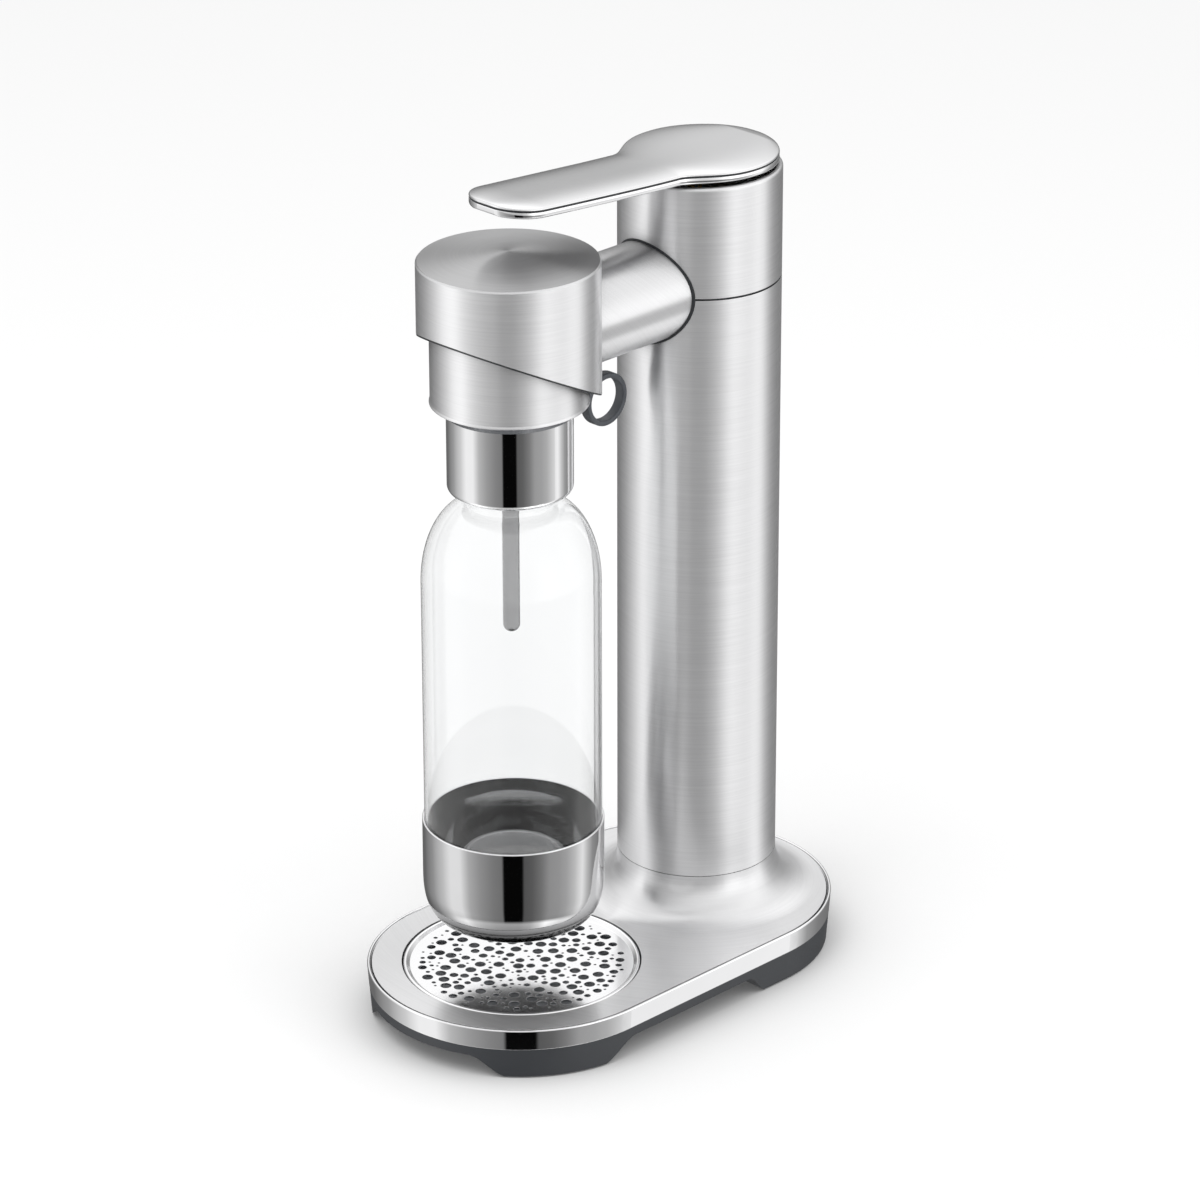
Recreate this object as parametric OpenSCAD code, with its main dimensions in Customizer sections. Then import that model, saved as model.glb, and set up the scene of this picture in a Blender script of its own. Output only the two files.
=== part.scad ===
// Sparkling water maker: a stadium base, a column with a gas cylinder inside, a head on a neck,
// a lever on top, and a bottle that hangs under the head in its own pressure cap.
// Millimetres. +Z is up, the front faces -Y, and the origin is on the table under the base's centre.

/* [Base] */
// Overall width of the base
base_w = 148.8; // [144:0.1:160]
// Height of the base's top plate above the table
base_h = 25.7; // [25:0.1:30]
// Thickness of the base's moulded walls
pan_wall = 2.5; // [2:0.1:3]
// Height of the arches between the feet
arch_h = 10.6; // [8:0.1:11]

/* [Drip tray] */
// Outer radius of the perforated plate
tray_r = 57.3; // [52:0.1:58]
// Distance from the base's front edge to the plate's edge
tray_margin = 17.1; // [15:0.1:19]
// Radius of the perforated field
field_r = 50.6; // [46:0.1:51]

/* [Column] */
// Outer radius of the column
column_r = 39; // [38:0.1:39.5]
// Height of the column's top above the table
column_h = 401; // [396:0.1:420]
// Distance from the base's back edge to the column's axis
column_set = 63.3; // [63:0.1:68]
// Thickness of the column's steel sheet
sheet = 1.2; // [0.8:0.1:1.4]
// Radius of the flare where the column meets the base
flare_r = 20.3; // [16:0.1:20.6]

/* [Neck and head] */
// Distance from the column's axis forward to the bottle's axis
head_reach = 125.8; // [124:0.1:160]
// Height from the neck's axis up to the column's top
neck_drop = 54.6; // [50:0.1:58]
// Outer radius of the neck tube
neck_r = 24.5; // [22:0.1:25]
// Outer radius of the head's shell
head_r = 42.6; // [41.5:0.1:44]
// Height from the neck's axis up to the head's rim
head_rise = 38.6; // [36:0.1:41]
// Rise of the domed top over the rim
dome_rise = 4.5; // [3:0.1:7]
// Slope of the head's lower edge, in degrees
cut_angle = 26.4; // [20:0.1:28]
// Distance from the tray's centre forward to the bottle's axis
bottle_set = 4.7; // [2:0.1:6]

/* [Lever] */
// Distance from the column's axis to the lever's tip
lever_reach = 131.6; // [120:0.1:140]
// Half width of the lever's arm at its waist
arm_half = 21.2; // [19:0.1:23]
// Radius of the lever's round end over the column
disc_r = 36.2; // [34:0.1:37]
// Depth of the polished under-body at its edge
band_h = 4; // [3:0.1:5]

/* [Pressure cap] */
// Outer radius of the cap's brushed sleeve
cap_r = 36.8; // [36:0.1:37]
// Distance from the neck's axis down to the sleeve's lower edge
cap_drop = 29.9; // [28:0.1:33]
// Outer radius of the polished collar
collar_r = 29.5; // [29:0.1:30]
// Length of the polished collar
collar_l = 39.5; // [34:0.1:42]
// Radius of the gas wand
wand_r = 4.05; // [3.5:0.05:4.5]
// Length of the wand below the collar
wand_l = 72; // [60:0.1:90]

/* [Bottle] */
// Outer radius of the bottle's body
bottle_r = 42.3; // [41.5:0.1:43]
// Height of the space between the base's top and the bottle's foot
bottle_gap = 27.3; // [26:0.1:40]
// Wall of the bottle
bottle_wall = 1.5; // [1.2:0.1:2]
// Height of the polished cup round the bottle's foot
cup_h = 50; // [40:0.1:60]

/* [Gas cylinder] */
// Radius of the gas cylinder
cylinder_r = 30; // [29:0.1:30.5]
// Height of the rubber pad under the gas cylinder
pad_h = 1.8; // [1.2:0.1:9]

/* [Hidden] */
$fn = 96;

// Overrun of every cut, hairline between shells, gap between moving bodies, and a running fit
over = 1;
hairline = 0.3;
seat_gap = 0.1;
fit_gap = 0.05;
clear_gap = 0.6;

// Places that everything else follows
base_r = base_w / 2;
base_l = column_set + head_reach - bottle_set + tray_r + tray_margin;
arc_y = (base_l - base_w) / 2;
column_y = base_l / 2 - column_set;
tray_y = -(base_l / 2 - tray_margin - tray_r);
bottle_y = tray_y - bottle_set;
neck_z = column_h - neck_drop;
head_z = neck_z + head_rise;
cap_z = neck_z - cap_drop;

// Base
foot_proud = 0.8;
band_drop = 10.1;
band_z = base_h - band_drop;
pan_lean = 1.2;
rim_lean = 0.7;
rim_t = 1.9;
rim_bead = 0.7;
skin_gap = 0.35;
skin_r = base_r - rim_t - skin_gap;
pan_top_r = base_r - rim_lean - seat_gap;
pan_seat_r = base_r - rim_t - seat_gap;
frame_t = 2;
frame_z = base_h - sheet - frame_t;
frame_in = 0.8;
foot_ring = 24;
under_r = base_r - pan_lean - foot_ring;
side_arch_y = -15.8;
side_arch_half = 56.8;
side_ease_front = 21.8;
side_ease_rear = 13.8;
end_arch_half = 48.3;
end_ease = 17;
ease_steps = 10;
foot_angle = 33;
pad_r = 7.5;
pad_t = 2;
pad_in = 12;
screw_r = 2;
screw_head_r = 3.6;
screw_head_t = 2;
flange_set = 5;
flange_w = 5.9;

// Drip tray
plate_t = 1;
tray_gap = 0.5;
dish_depth = 1.5;
rim_round = 1.2;
dish_slope = 3.4;
cup_wall = 1.4;
web_share = 0.018;
hole_shares = [0.052, 0.042, 0.031, 0.021, 0.013];
hole_tries = [170, 260, 420, 420, 420];
hole_seed = 11;

// Column
cover_half_angle = 60;
liner_gap = 0.9;
liner_t = 2.6;
liner_angle = 200;
seam_in = 0.6;
seam_h = 1;
seam_t = 1.5;
top_round = 1.4;
top_lip = 2.6;
flare_z = base_h + flare_r;
rib_t = 1.6;
rib_angle = 42;
clip_h = 14;
pad_ring_r = 20;
pad_ring_w = 6;

// Neck and head
neck_gasket_t = 1;
neck_gasket_w = 1.8;
arm_wall = 8.5;
pipe_r = 2;
pipe_wall = 0.7;
pipe_seat = 6;
pipe_rise = 19.3;
pipe_slot = 3.2;
rim_chamfer = 0.7;
cut_drop = 11.9;
liner_drop = 3;
head_liner_t = 2;
core_z = neck_z + 15.9;
nozzle_r = 6;
nozzle_l = 7;
nozzle_tip_r = 3;
nozzle_flange_r = 10;
nozzle_flange_t = 1.2;
ring_seal_t = 1.1;
gas_bore_r = 1.2;
nut_r = 4.6;
nut_l = 5;

// Gas valve
bracket_t = 3;
bracket_z = neck_z + 1;
bracket_in = 1.4;
valve_h = 30.6;
valve_block_r = 14;
boss_r = 7;
boss_out = 20;
socket_r = 11;
socket_l = 11.5;
socket_seal_t = 1.6;
stem_r = socket_r - fit_gap;
stem_l = 16;
burst_r = 4.5;
burst_l = 6;
rod_r = 3;
rod_head_r = 5;
rod_head_t = 2.4;
touch_gap = 0.3;
spring_r = 4.6;
spring_wire = 0.45;
spring_turns = 5;
spring_sides = 6;
spring_steps = 12;

// Lever hinge: the lever's fork lifts the rocker's front end, and its rear end presses the rod
pin_r = 2.5;
pivot_z = column_h - 7;
pivot_offset = 29;
rocker_offset = 9.5;
ear_gap = 10;
ear_t = 2.5;
ear_r = 4.6;
ear_foot_front = 22.5;
ear_foot_rear = 12.5;
ear_knee = 17;
hub_half = 9.5;
hub_r = 4.6;
fork_half = 8;
fork_t = 2.6;
fork_reach = 10;
fork_bar_r = 2;
pin_over = 2;
clip_r = 4;
clip_t = 0.9;
rocker_half = 4;
rocker_h = 4.4;
rocker_nose = 1;
rocker_toe = 2.5;
rocker_pin_r = 1.5;
lug_t = 2.4;
lug_half = 3.6;

// Lever body
under_gap = 1;
band_z_disc = column_h + under_gap;
tip_rise = 7.7;
rise_from = 20;
rise_share = 1.25;
skin_edge = 0.7;
skin_crown = 1.9;
gasket_t = 0.8;
gasket_in = 0.7;
band_round = 1.1;
tip_corner = 10;
disc_front = 4;
disc_back = 2;
arm_flare = 2;
arm_waist = 10;
blend_power = 4;
lever_stations = 40;
section_steps = 10;
lever_end_gap = 0.1;
body_in = 0.2;
end_share = 0.65;

// Gas cylinder
cylinder_wall = 2.6;
cylinder_top_z = bracket_z + bracket_t + socket_l - socket_seal_t;
cylinder_z = arch_h + pan_wall + pad_h;
valve_neck_r = 12;
valve_neck_l = 30;
shoulder_l = 26;
foot_round = 9;
foot_dish = 5;
valve_collar_r = 14;
valve_collar_l = 15;

// Pressure cap
cap_top = core_z - clear_gap;
cap_sheet = 1.2;
cap_lip = 0.4;
bevel_h = 4.5;
bevel_r = 30;
ring_step = 0.4;
core_top_r = 30;
neck_bore_r = 21;
neck_bore_l = 26;
collar_wall = 2.4;
collar_round = 3;
collar_z = cap_z - bevel_h - collar_l;
cap_seal_t = 2;
wand_wall = 1;
wand_orifice = 0.8;
wand_top = 14;
release_y = bottle_y + cap_r;
seal_z = cap_z - 2 * bevel_h + neck_bore_l;
release_drop = 9.5;
release_z = cap_z - release_drop;
loop_r = 14;
loop_t = 3;
loop_w = 8;
loop_out = 24.6;
loop_down = 7;
tab_half = 3.6;
ear_half_gap = 4;
ear_w = 2.2;
knuckle_r = 2.4;
release_pin_r = 1.2;
stem_reach = 4.6;
release_stem_r = 1.3;
release_stem_l = 18;
toe_r = 1;
stem_z = release_z + toe_r + hairline;

// Bottle
neck_outer_r = 20.2;
mouth_z = seal_z - cap_seal_t - fit_gap;
cup_z = base_h + bottle_gap;
cup_wall_t = 1.3;
cup_lip = 0.9;
cup_round = 13;
foot_r = 12;
foot_lift = 2.2;
punt_r = 28;
punt_rise = 31;
shoulder_h = 39.3;
shoulder_drop = 46.5;
neck_fillet = 2.5;
shoulder_z = collar_z - shoulder_drop;

// Sweeps a profile, drawn outward from an end's centre, round the stadium plan of the base
module stadium_sweep() {
    for (turn = [0, 180])
        rotate([0, 0, turn]) translate([0, arc_y, 0]) rotate_extrude(angle = 180) children();
    rotate([90, 0, 0]) linear_extrude(2 * arc_y, center = true) {
        children();
        mirror([1, 0]) children();
    }
}

// Straight cylinder along X, centred
module bar_x(r, l) {
    rotate([0, 90, 0]) cylinder(r = r, h = l, center = true);
}

// Straight cylinder along Y, from y0 to y1
module bar_y(r, y0, y1) {
    translate([0, y0, 0]) rotate([-90, 0, 0]) cylinder(r = r, h = y1 - y0);
}

// Round tube standing on z0
module tube(outer, inner, z0, z1) {
    translate([0, 0, z0]) difference() {
        cylinder(r = outer, h = z1 - z0);
        translate([0, 0, -over]) cylinder(r = inner, h = z1 - z0 + 2 * over);
    }
}

// Places children on the vertical axis of the bottle, cap and head
module on_bottle() {
    translate([0, bottle_y, 0]) children();
}

// Places children on the vertical axis of the column
module on_column() {
    translate([0, column_y, 0]) children();
}

// Rounded step from 0 to 1, used for the arches' ends
function ease(t) = (1 - cos(180 * t)) / 2;

// Profile of an arch: flat top, eased down to the floor at both ends
function arch_points(half, ease_a, ease_b, h) = concat(
    [[-half, -over]],
    [for (i = [0:ease_steps]) [-half + ease_a * i / ease_steps, h * ease(i / ease_steps)]],
    [for (i = [0:ease_steps]) [half - ease_b + ease_b * i / ease_steps, h * ease(1 - i / ease_steps)]],
    [[half, -over]]
);

// The space under the base: a recess inside the ring of feet and an arch on each side and end
module under_space(grow) {
    stadium_sweep() translate([0, -over]) square([under_r + grow, arch_h + grow + over]);
    translate([0, side_arch_y, 0]) rotate([90, 0, 90])
        linear_extrude(base_w + 2 * over, center = true)
            polygon(arch_points(side_arch_half + grow, side_ease_front, side_ease_rear, arch_h + grow));
    for (side = [-1, 1]) translate([0, side * (arc_y + base_r / 2 + over), 0]) rotate([90, 0, 0])
        linear_extrude(base_r + 2 * over, center = true)
            polygon(arch_points(end_arch_half + grow, end_ease, end_ease, arch_h + grow));
}

// Places children at the four feet
module at_feet() {
    for (side = [-1, 1], end = [-1, 1])
        translate([
            side * (base_r - pad_in - pan_lean) * cos(foot_angle),
            end * (arc_y + (base_r - pad_in - pan_lean) * sin(foot_angle)),
            0
        ]) children();
}

// Places children at the screws that hold the column to the base
module at_base_screws() {
    on_column() for (turn = [45:90:315])
        rotate([0, 0, turn]) translate([column_r - flange_set, 0, 0]) children();
}

module base_pan() {
    color("dimgray") difference() {
        stadium_sweep() polygon([
            [0, foot_proud], [base_r - pan_lean - rim_lean, foot_proud], [pan_top_r, band_z],
            [pan_seat_r, band_z], [pan_seat_r, frame_z], [0, frame_z]
        ]);
        under_space(0);
        difference() {
            stadium_sweep() translate([0, foot_proud + pan_wall])
                square([pan_seat_r - pan_wall, frame_z]);
            under_space(pan_wall);
        }
        at_feet() translate([0, 0, -over]) cylinder(r = pad_r + seat_gap, h = pad_t + over);
        at_base_screws() cylinder(r = screw_r + seat_gap, h = base_h);
    }
}

module rubber_feet() {
    color("black") at_feet() cylinder(r = pad_r, h = pad_t);
}

module base_screws() {
    color("silver") at_base_screws() translate([0, 0, arch_h]) {
        translate([0, 0, -screw_head_t]) cylinder(r = screw_head_r, h = screw_head_t);
        cylinder(r = screw_r, h = base_h - sheet + pan_wall - arch_h);
    }
}

module base_rim() {
    color("gainsboro") stadium_sweep() polygon(concat(
        [[base_r - rim_t, band_z], [base_r - rim_lean, band_z]],
        [for (a = [0:15:180]) [
            base_r - rim_bead + rim_bead * cos(a),
            base_h - rim_bead / 2 + rim_bead * sin(a)
        ]],
        [[base_r - rim_t, base_h - rim_bead]]
    ));
}

module base_frame() {
    color("slategray") difference() {
        translate([0, 0, frame_z]) stadium_sweep()
            square([pan_seat_r - frame_in, frame_t]);
        translate([0, tray_y, 0]) cylinder(r = tray_r + tray_gap, h = base_h);
        on_column() cylinder(r = cylinder_r + hairline, h = base_h);
        at_base_screws() cylinder(r = screw_r + seat_gap, h = base_h);
    }
}

module base_top_plate() {
    color("silver") {
        difference() {
            translate([0, 0, base_h - sheet]) stadium_sweep() square([skin_r, sheet]);
            translate([0, tray_y, 0]) cylinder(r = tray_r + tray_gap, h = base_h + over);
            on_column() cylinder(r = column_r + flare_r, h = base_h + over);
        }
        on_column() rotate_extrude() difference() {
            translate([column_r - sheet, base_h - sheet]) square([flare_r + sheet, flare_r + sheet]);
            translate([column_r + flare_r, flare_z]) circle(r = flare_r);
            translate([column_r - sheet - over, base_h - sheet - over]) difference() {
                square([flare_r + sheet + over, flare_r + sheet + over]);
                translate([flare_r + sheet + over, flare_r + sheet + over])
                    circle(r = flare_r + sheet);
            }
        }
    }
}

// One hole's place and radius as shares of the field's radius
function clears(spot, r, kept, i = 0) =
    i == len(kept) ? true
    : norm([spot[0] - kept[i][0], spot[1] - kept[i][1]]) < r + kept[i][2] + web_share ? false
    : clears(spot, r, kept, i + 1);

// Throws holes of one size at the field and keeps those that clear the ones already there
function throw_holes(r, spins, reaches, kept, k = 0) =
    k == len(spins) ? kept
    : let (spot = (1 - r) * sqrt(reaches[k]) * [cos(360 * spins[k]), sin(360 * spins[k])])
        throw_holes(r, spins, reaches,
            clears(spot, r, kept) ? concat(kept, [[spot[0], spot[1], r]]) : kept, k + 1);

// All sizes in turn, the largest first
function all_holes(size = 0, kept = []) =
    size == len(hole_shares) ? kept
    : all_holes(size + 1, throw_holes(hole_shares[size],
        rands(0, 1, hole_tries[size], hole_seed + size),
        rands(0, 1, hole_tries[size], hole_seed + size + len(hole_shares)), kept));

module drip_plate() {
    flat_z = base_h - dish_depth - plate_t;
    holes = all_holes();
    color("whitesmoke") translate([0, tray_y, 0]) {
        rotate_extrude() polygon(concat(
            [[field_r, flat_z], [tray_r - dish_slope, flat_z], [tray_r, flat_z + plate_t]],
            [for (a = [0:15:120]) [
                tray_r - rim_round + rim_round * cos(a),
                base_h - rim_round + rim_round * sin(a)
            ]],
            [[tray_r - dish_slope, flat_z + plate_t], [field_r, flat_z + plate_t]]
        ));
        translate([0, 0, flat_z]) linear_extrude(plate_t) difference() {
            circle(r = field_r);
            for (hole = holes) translate([hole[0], hole[1]] * field_r) circle(r = hole[2] * field_r);
        }
    }
}

module drip_cup() {
    floor_z = arch_h + pan_wall + seat_gap;
    rest_z = base_h - dish_depth - plate_t;
    cup_r = tray_r - dish_slope;
    color("dimgray") translate([0, tray_y, 0]) rotate_extrude() polygon([
        [0, floor_z], [cup_r - dish_slope, floor_z], [cup_r, floor_z + dish_slope], [cup_r, rest_z],
        [cup_r - cup_wall, rest_z], [cup_r - cup_wall, floor_z + dish_slope + cup_wall / 2],
        [cup_r - dish_slope - cup_wall / 2, floor_z + cup_wall], [0, floor_z + cup_wall]
    ]);
}

// Ring sector with its middle at the given angle
module sector(outer, inner, z0, z1, mid, span) {
    translate([0, 0, z0]) rotate([0, 0, mid - span / 2]) rotate_extrude(angle = span)
        translate([inner, 0]) square([outer - inner, z1 - z0]);
}

// The hole that the neck passes through
module neck_hole(r) {
    translate([0, 0, neck_z]) bar_y(r, bottle_y, column_y);
}

module column_frame() {
    outer = column_r - sheet - liner_gap;
    foot_z = base_h - sheet;
    color("lightslategray") difference() {
        on_column() rotate_extrude() polygon([
            [outer - flange_w, foot_z], [outer, foot_z], [outer, bracket_z],
            [outer - liner_t, bracket_z], [outer - liner_t, foot_z + pan_wall],
            [outer - flange_w, foot_z + pan_wall]
        ]);
        on_column() sector(column_r, outer - flange_w - over, foot_z + pan_wall, column_h,
            90, 360 - liner_angle);
        neck_hole(neck_r - sheet);
        at_base_screws() cylinder(r = screw_r + seat_gap, h = base_h + pan_wall + over);
    }
}

module column_shell() {
    color("silver") difference() {
        on_column() sector(column_r, column_r - sheet, flare_z + hairline,
            neck_z - seam_h / 2, 270, 360 - 2 * cover_half_angle);
        neck_hole(neck_r + neck_gasket_t + seat_gap);
    }
}

module rear_cover() {
    slit = asin(hairline / column_r);
    z0 = flare_z + hairline + hairline;
    z1 = neck_z - seam_h / 2 - hairline;
    color("silver") on_column() {
        sector(column_r, column_r - sheet, z0, z1, 90, 2 * (cover_half_angle - slit));
        for (side = [-1, 1]) rotate([0, 0, 90 + side * rib_angle])
            translate([column_r - sheet - clip_h / 2, -rib_t / 2, z0 + clip_h])
                cube([clip_h / 2 + sheet / 2, rib_t, z1 - z0 - 2 * clip_h]);
    }
}

module column_seam_ring() {
    color("dimgray") difference() {
        on_column() tube(column_r - seam_in, column_r - seam_in - seam_t,
            neck_z - seam_h / 2, neck_z + seam_h / 2);
        neck_hole(neck_r + neck_gasket_t + seat_gap);
    }
}

module column_top() {
    color("silver") difference() {
        on_column() rotate_extrude() polygon(concat(
            [[column_r - sheet, neck_z + seam_h / 2], [column_r, neck_z + seam_h / 2]],
            [for (a = [0:15:90]) [
                column_r - top_round + top_round * cos(a),
                column_h - top_round + top_round * sin(a)
            ]],
            [[column_r - top_lip, column_h], [column_r - top_lip, column_h - sheet],
                [column_r - sheet, column_h - sheet - top_round]]
        ));
        neck_hole(neck_r + neck_gasket_t + seat_gap);
    }
}

module cylinder_pad() {
    color("black") on_column()
        tube(pad_ring_r, pad_ring_r - pad_ring_w, arch_h + pan_wall, cylinder_z);
}

module cylinder_body() {
    top_z = cylinder_top_z - valve_neck_l;
    color("lightsteelblue") on_column() rotate_extrude() polygon([
        [0, cylinder_z + foot_dish], [cylinder_r - 2 * foot_round, cylinder_z + foot_dish / 2],
        [cylinder_r - foot_round, cylinder_z], [cylinder_r - foot_round / 3, cylinder_z + foot_round / 3],
        [cylinder_r, cylinder_z + foot_round],
        [cylinder_r, top_z - shoulder_l], [cylinder_r - shoulder_l / 9, top_z - 2 * shoulder_l / 3],
        [cylinder_r - shoulder_l / 3, top_z - shoulder_l / 4], [valve_neck_r, top_z],
        [valve_neck_r - cylinder_wall, top_z], [valve_neck_r - cylinder_wall, top_z - shoulder_l / 3],
        [cylinder_r - shoulder_l / 3 - cylinder_wall, top_z - shoulder_l / 3 - cylinder_wall],
        [cylinder_r - cylinder_wall, top_z - shoulder_l],
        [cylinder_r - cylinder_wall, cylinder_z + foot_round],
        [cylinder_r - foot_round, cylinder_z + foot_dish + cylinder_wall],
        [0, cylinder_z + foot_dish + cylinder_wall]
    ]);
}

module cylinder_valve() {
    base_z = cylinder_top_z - valve_neck_l;
    color("goldenrod") on_column() difference() {
        union() {
            translate([0, 0, base_z - shoulder_l / 3])
                cylinder(r = valve_neck_r - cylinder_wall, h = shoulder_l / 3 + over);
            translate([0, 0, base_z]) cylinder(r = valve_collar_r, h = valve_collar_l - over);
            translate([0, 0, base_z]) cylinder(r = stem_r, h = valve_neck_l);
        }
        translate([0, 0, cylinder_top_z - stem_l / 2]) cylinder(r = rod_r + hairline, h = stem_l);
    }
}

// Heights of the valve block's underside, of the gas pipe and of the rocker's pin
block_z = bracket_z + bracket_t;
pipe_z = neck_z + pipe_rise;
rocker_z = pivot_z;

module valve_bracket() {
    rise = pivot_z - block_z;
    color("lightslategray") difference() {
        on_column() union() {
            translate([0, 0, bracket_z]) cylinder(r = column_r - sheet - bracket_in, h = bracket_t);
            for (side = [-1, 1]) translate([side * (ear_gap + ear_t / 2), 0, block_z])
                rotate([90, 0, 90]) linear_extrude(ear_t, center = true) {
                    translate([-pivot_offset, rise]) circle(r = ear_r);
                    polygon([
                        [-ear_foot_front, -bracket_t / 2], [-ear_foot_rear, -bracket_t / 2],
                        [-ear_foot_rear, ear_knee], [-pivot_offset + ear_r, rise],
                        [-pivot_offset, rise + ear_r], [-pivot_offset - ear_r, rise],
                        [-ear_foot_front, ear_knee]
                    ]);
                }
        }
        on_column() cylinder(r = stem_r + over, h = column_h);
        translate([0, column_y - pivot_offset, pivot_z]) bar_x(pin_r, base_w);
        translate([0, 0, neck_z])
            bar_y(neck_r - sheet + seat_gap, bottle_y, column_y - pivot_offset + ear_r / 2);
    }
}

module valve_body() {
    color("goldenrod") difference() {
        on_column() translate([0, 0, block_z]) union() {
            cylinder(r = valve_block_r, h = valve_h);
            translate([0, 0, pipe_z - block_z]) bar_y(boss_r, -boss_out, 0);
            for (side = [-1, 1])
                translate([side * (rocker_half + clear_gap + lug_t / 2), -rocker_offset, valve_h]) {
                    translate([-lug_t / 2, -lug_half, -over])
                        cube([lug_t, 2 * lug_half, rocker_z - block_z - valve_h + over]);
                    translate([0, 0, rocker_z - block_z - valve_h]) bar_x(lug_half, lug_t);
                }
        }
        on_column() translate([0, 0, block_z - over]) cylinder(r = socket_r, h = socket_l + over);
        on_column() translate([0, 0, block_z]) cylinder(r = rod_r + fit_gap, h = valve_h + over);
        on_column() translate([0, 0, pipe_z]) {
            bar_y(pipe_r, -boss_out - over, -rod_r - over);
            bar_y(burst_r / 2, valve_block_r - burst_l / 2, valve_block_r + over);
        }
        at_rocker() bar_x(rocker_pin_r, base_w);
    }
}

module valve_seal() {
    color("black") on_column() tube(socket_r, socket_r / 2,
        block_z + socket_l - socket_seal_t + fit_gap, block_z + socket_l);
}

module safety_valve() {
    color("goldenrod") on_column() translate([0, 0, pipe_z]) {
        bar_y(burst_r / 2, valve_block_r - burst_l / 2, valve_block_r);
        bar_y(burst_r, valve_block_r, valve_block_r + burst_l / 2);
    }
}

// Heights on the push rod: its head lies just under the rocker's nose
rod_top = rocker_z - rocker_h / 2 - touch_gap;
rod_z = cylinder_top_z + touch_gap;

module push_rod() {
    color("gainsboro") on_column() {
        translate([0, 0, rod_z]) cylinder(r = rod_r, h = rod_top - rod_z);
        translate([0, 0, rod_top - rod_head_t]) cylinder(r = rod_head_r, h = rod_head_t);
    }
}

// Ring of a coil's tube at one step of its turns
function coil_ring(k, z0, z1) = let (
    steps = spring_turns * spring_steps,
    turn = 360 * k / spring_steps,
    z = z0 + (z1 - z0) * k / steps
) [for (i = [0:spring_sides - 1]) let (
    a = -360 * i / spring_sides,
    r = spring_r + spring_wire * cos(a)
) [r * cos(turn), r * sin(turn), z + spring_wire * sin(a)]];

// Faces of a tube made of rings, open or with both ends closed
function tube_walls(rings, sides) = [for (k = [0:rings - 2], i = [0:sides - 1], half = [0, 1]) let (
    a = k * sides + i,
    b = k * sides + (i + 1) % sides
) half == 0 ? [a, a + sides, b + sides] : [a, b + sides, b]];

function tube_faces(rings, sides) = concat(
    [[for (i = [0:sides - 1]) i]],
    tube_walls(rings, sides),
    [[for (i = [sides - 1:-1:0]) (rings - 1) * sides + i]]
);

module rod_spring() {
    z0 = block_z + valve_h + spring_wire;
    z1 = rod_top - rod_head_t - spring_wire;
    rings = spring_turns * spring_steps + 1;
    color("silver") on_column() polyhedron(
        points = [for (k = [0:rings - 1], p = coil_ring(k, z0, z1)) p],
        faces = tube_faces(rings, spring_sides)
    );
}

module at_pivot() {
    translate([0, column_y - pivot_offset, pivot_z]) children();
}

module lever_pin() {
    color("gainsboro") at_pivot() bar_x(pin_r, 2 * (ear_gap + ear_t + pin_over));
}

module pin_clips() {
    color("dimgray") at_pivot() for (side = [-1, 1])
        translate([side * (ear_gap + ear_t + clip_t / 2), 0, 0]) rotate([0, 90, 0])
            difference() {
                cylinder(r = clip_r, h = clip_t, center = true);
                cylinder(r = pin_r, h = clip_t + over, center = true);
            }
}

module at_rocker() {
    translate([0, column_y - rocker_offset, rocker_z]) children();
}

module rocker() {
    color("gainsboro") difference() {
        at_rocker() union() {
            translate([-rocker_half, rocker_offset - pivot_offset + fork_reach - rocker_toe, -rocker_h / 2])
                cube([2 * rocker_half, pivot_offset - fork_reach + rocker_toe + rocker_nose, rocker_h]);
            bar_x(lug_half, 2 * rocker_half);
        }
        at_rocker() bar_x(rocker_pin_r + fit_gap, base_w);
    }
}

module rocker_pin() {
    color("silver") at_rocker() bar_x(rocker_pin_r, 2 * (rocker_half + clear_gap + lug_t));
}

// Height of the lever's underside over its pin, at a distance y behind the pin
function hub_top(y) = band_z_disc - pivot_z + lever_rise(y - pivot_offset) - seat_gap / 2;

module lever_hub() {
    bar_z = -rocker_h / 2 - touch_gap - fork_bar_r;
    fork_end = fork_reach + fork_bar_r;
    flat_y = pivot_offset - rise_from;
    color("lightslategray") difference() {
        at_pivot() union() {
            bar_x(hub_r, 2 * hub_half);
            rotate([90, 0, 90]) linear_extrude(2 * hub_half, center = true)
                polygon([[-hub_r, 0], [hub_r, 0], [hub_r, hub_top(hub_r)], [-hub_r, hub_top(-hub_r)]]);
            translate([0, fork_reach, bar_z]) bar_x(fork_bar_r, 2 * fork_half);
            for (side = [-1, 1]) translate([side * (fork_half - fork_t / 2), 0, 0])
                rotate([90, 0, 90]) linear_extrude(fork_t, center = true) polygon([
                    [0, bar_z - fork_bar_r], [fork_end, bar_z - fork_bar_r],
                    [fork_end, hub_top(fork_end) + seat_gap / 2], [flat_y, hub_top(flat_y) + seat_gap / 2],
                    [hub_r, hub_top(hub_r)], [0, 0]
                ]);
        }
        at_pivot() bar_x(pin_r + fit_gap, base_w);
    }
}

// Half width of the lever's outline at a distance y behind the column's axis, negative in front
function disc_half(y) =
    y < -disc_front ? sqrt(max(0, disc_r ^ 2 - (y + disc_front) ^ 2))
    : y > disc_back ? sqrt(max(0, disc_r ^ 2 - (y - disc_back) ^ 2))
    : disc_r;

function arm_fade(y) = ease(max(0, min(1, -(y + disc_front) / (disc_r - disc_front))));

function arm_width(y) = (arm_half + arm_flare * (min(0, y + disc_r + arm_waist) / lever_reach * 2) ^ 2)
    * arm_fade(y);

function corner_cut(y) = let (left = max(0, y + lever_reach))
    left >= tip_corner ? 0 : tip_corner - sqrt(max(0, tip_corner ^ 2 - (tip_corner - left) ^ 2));

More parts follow.
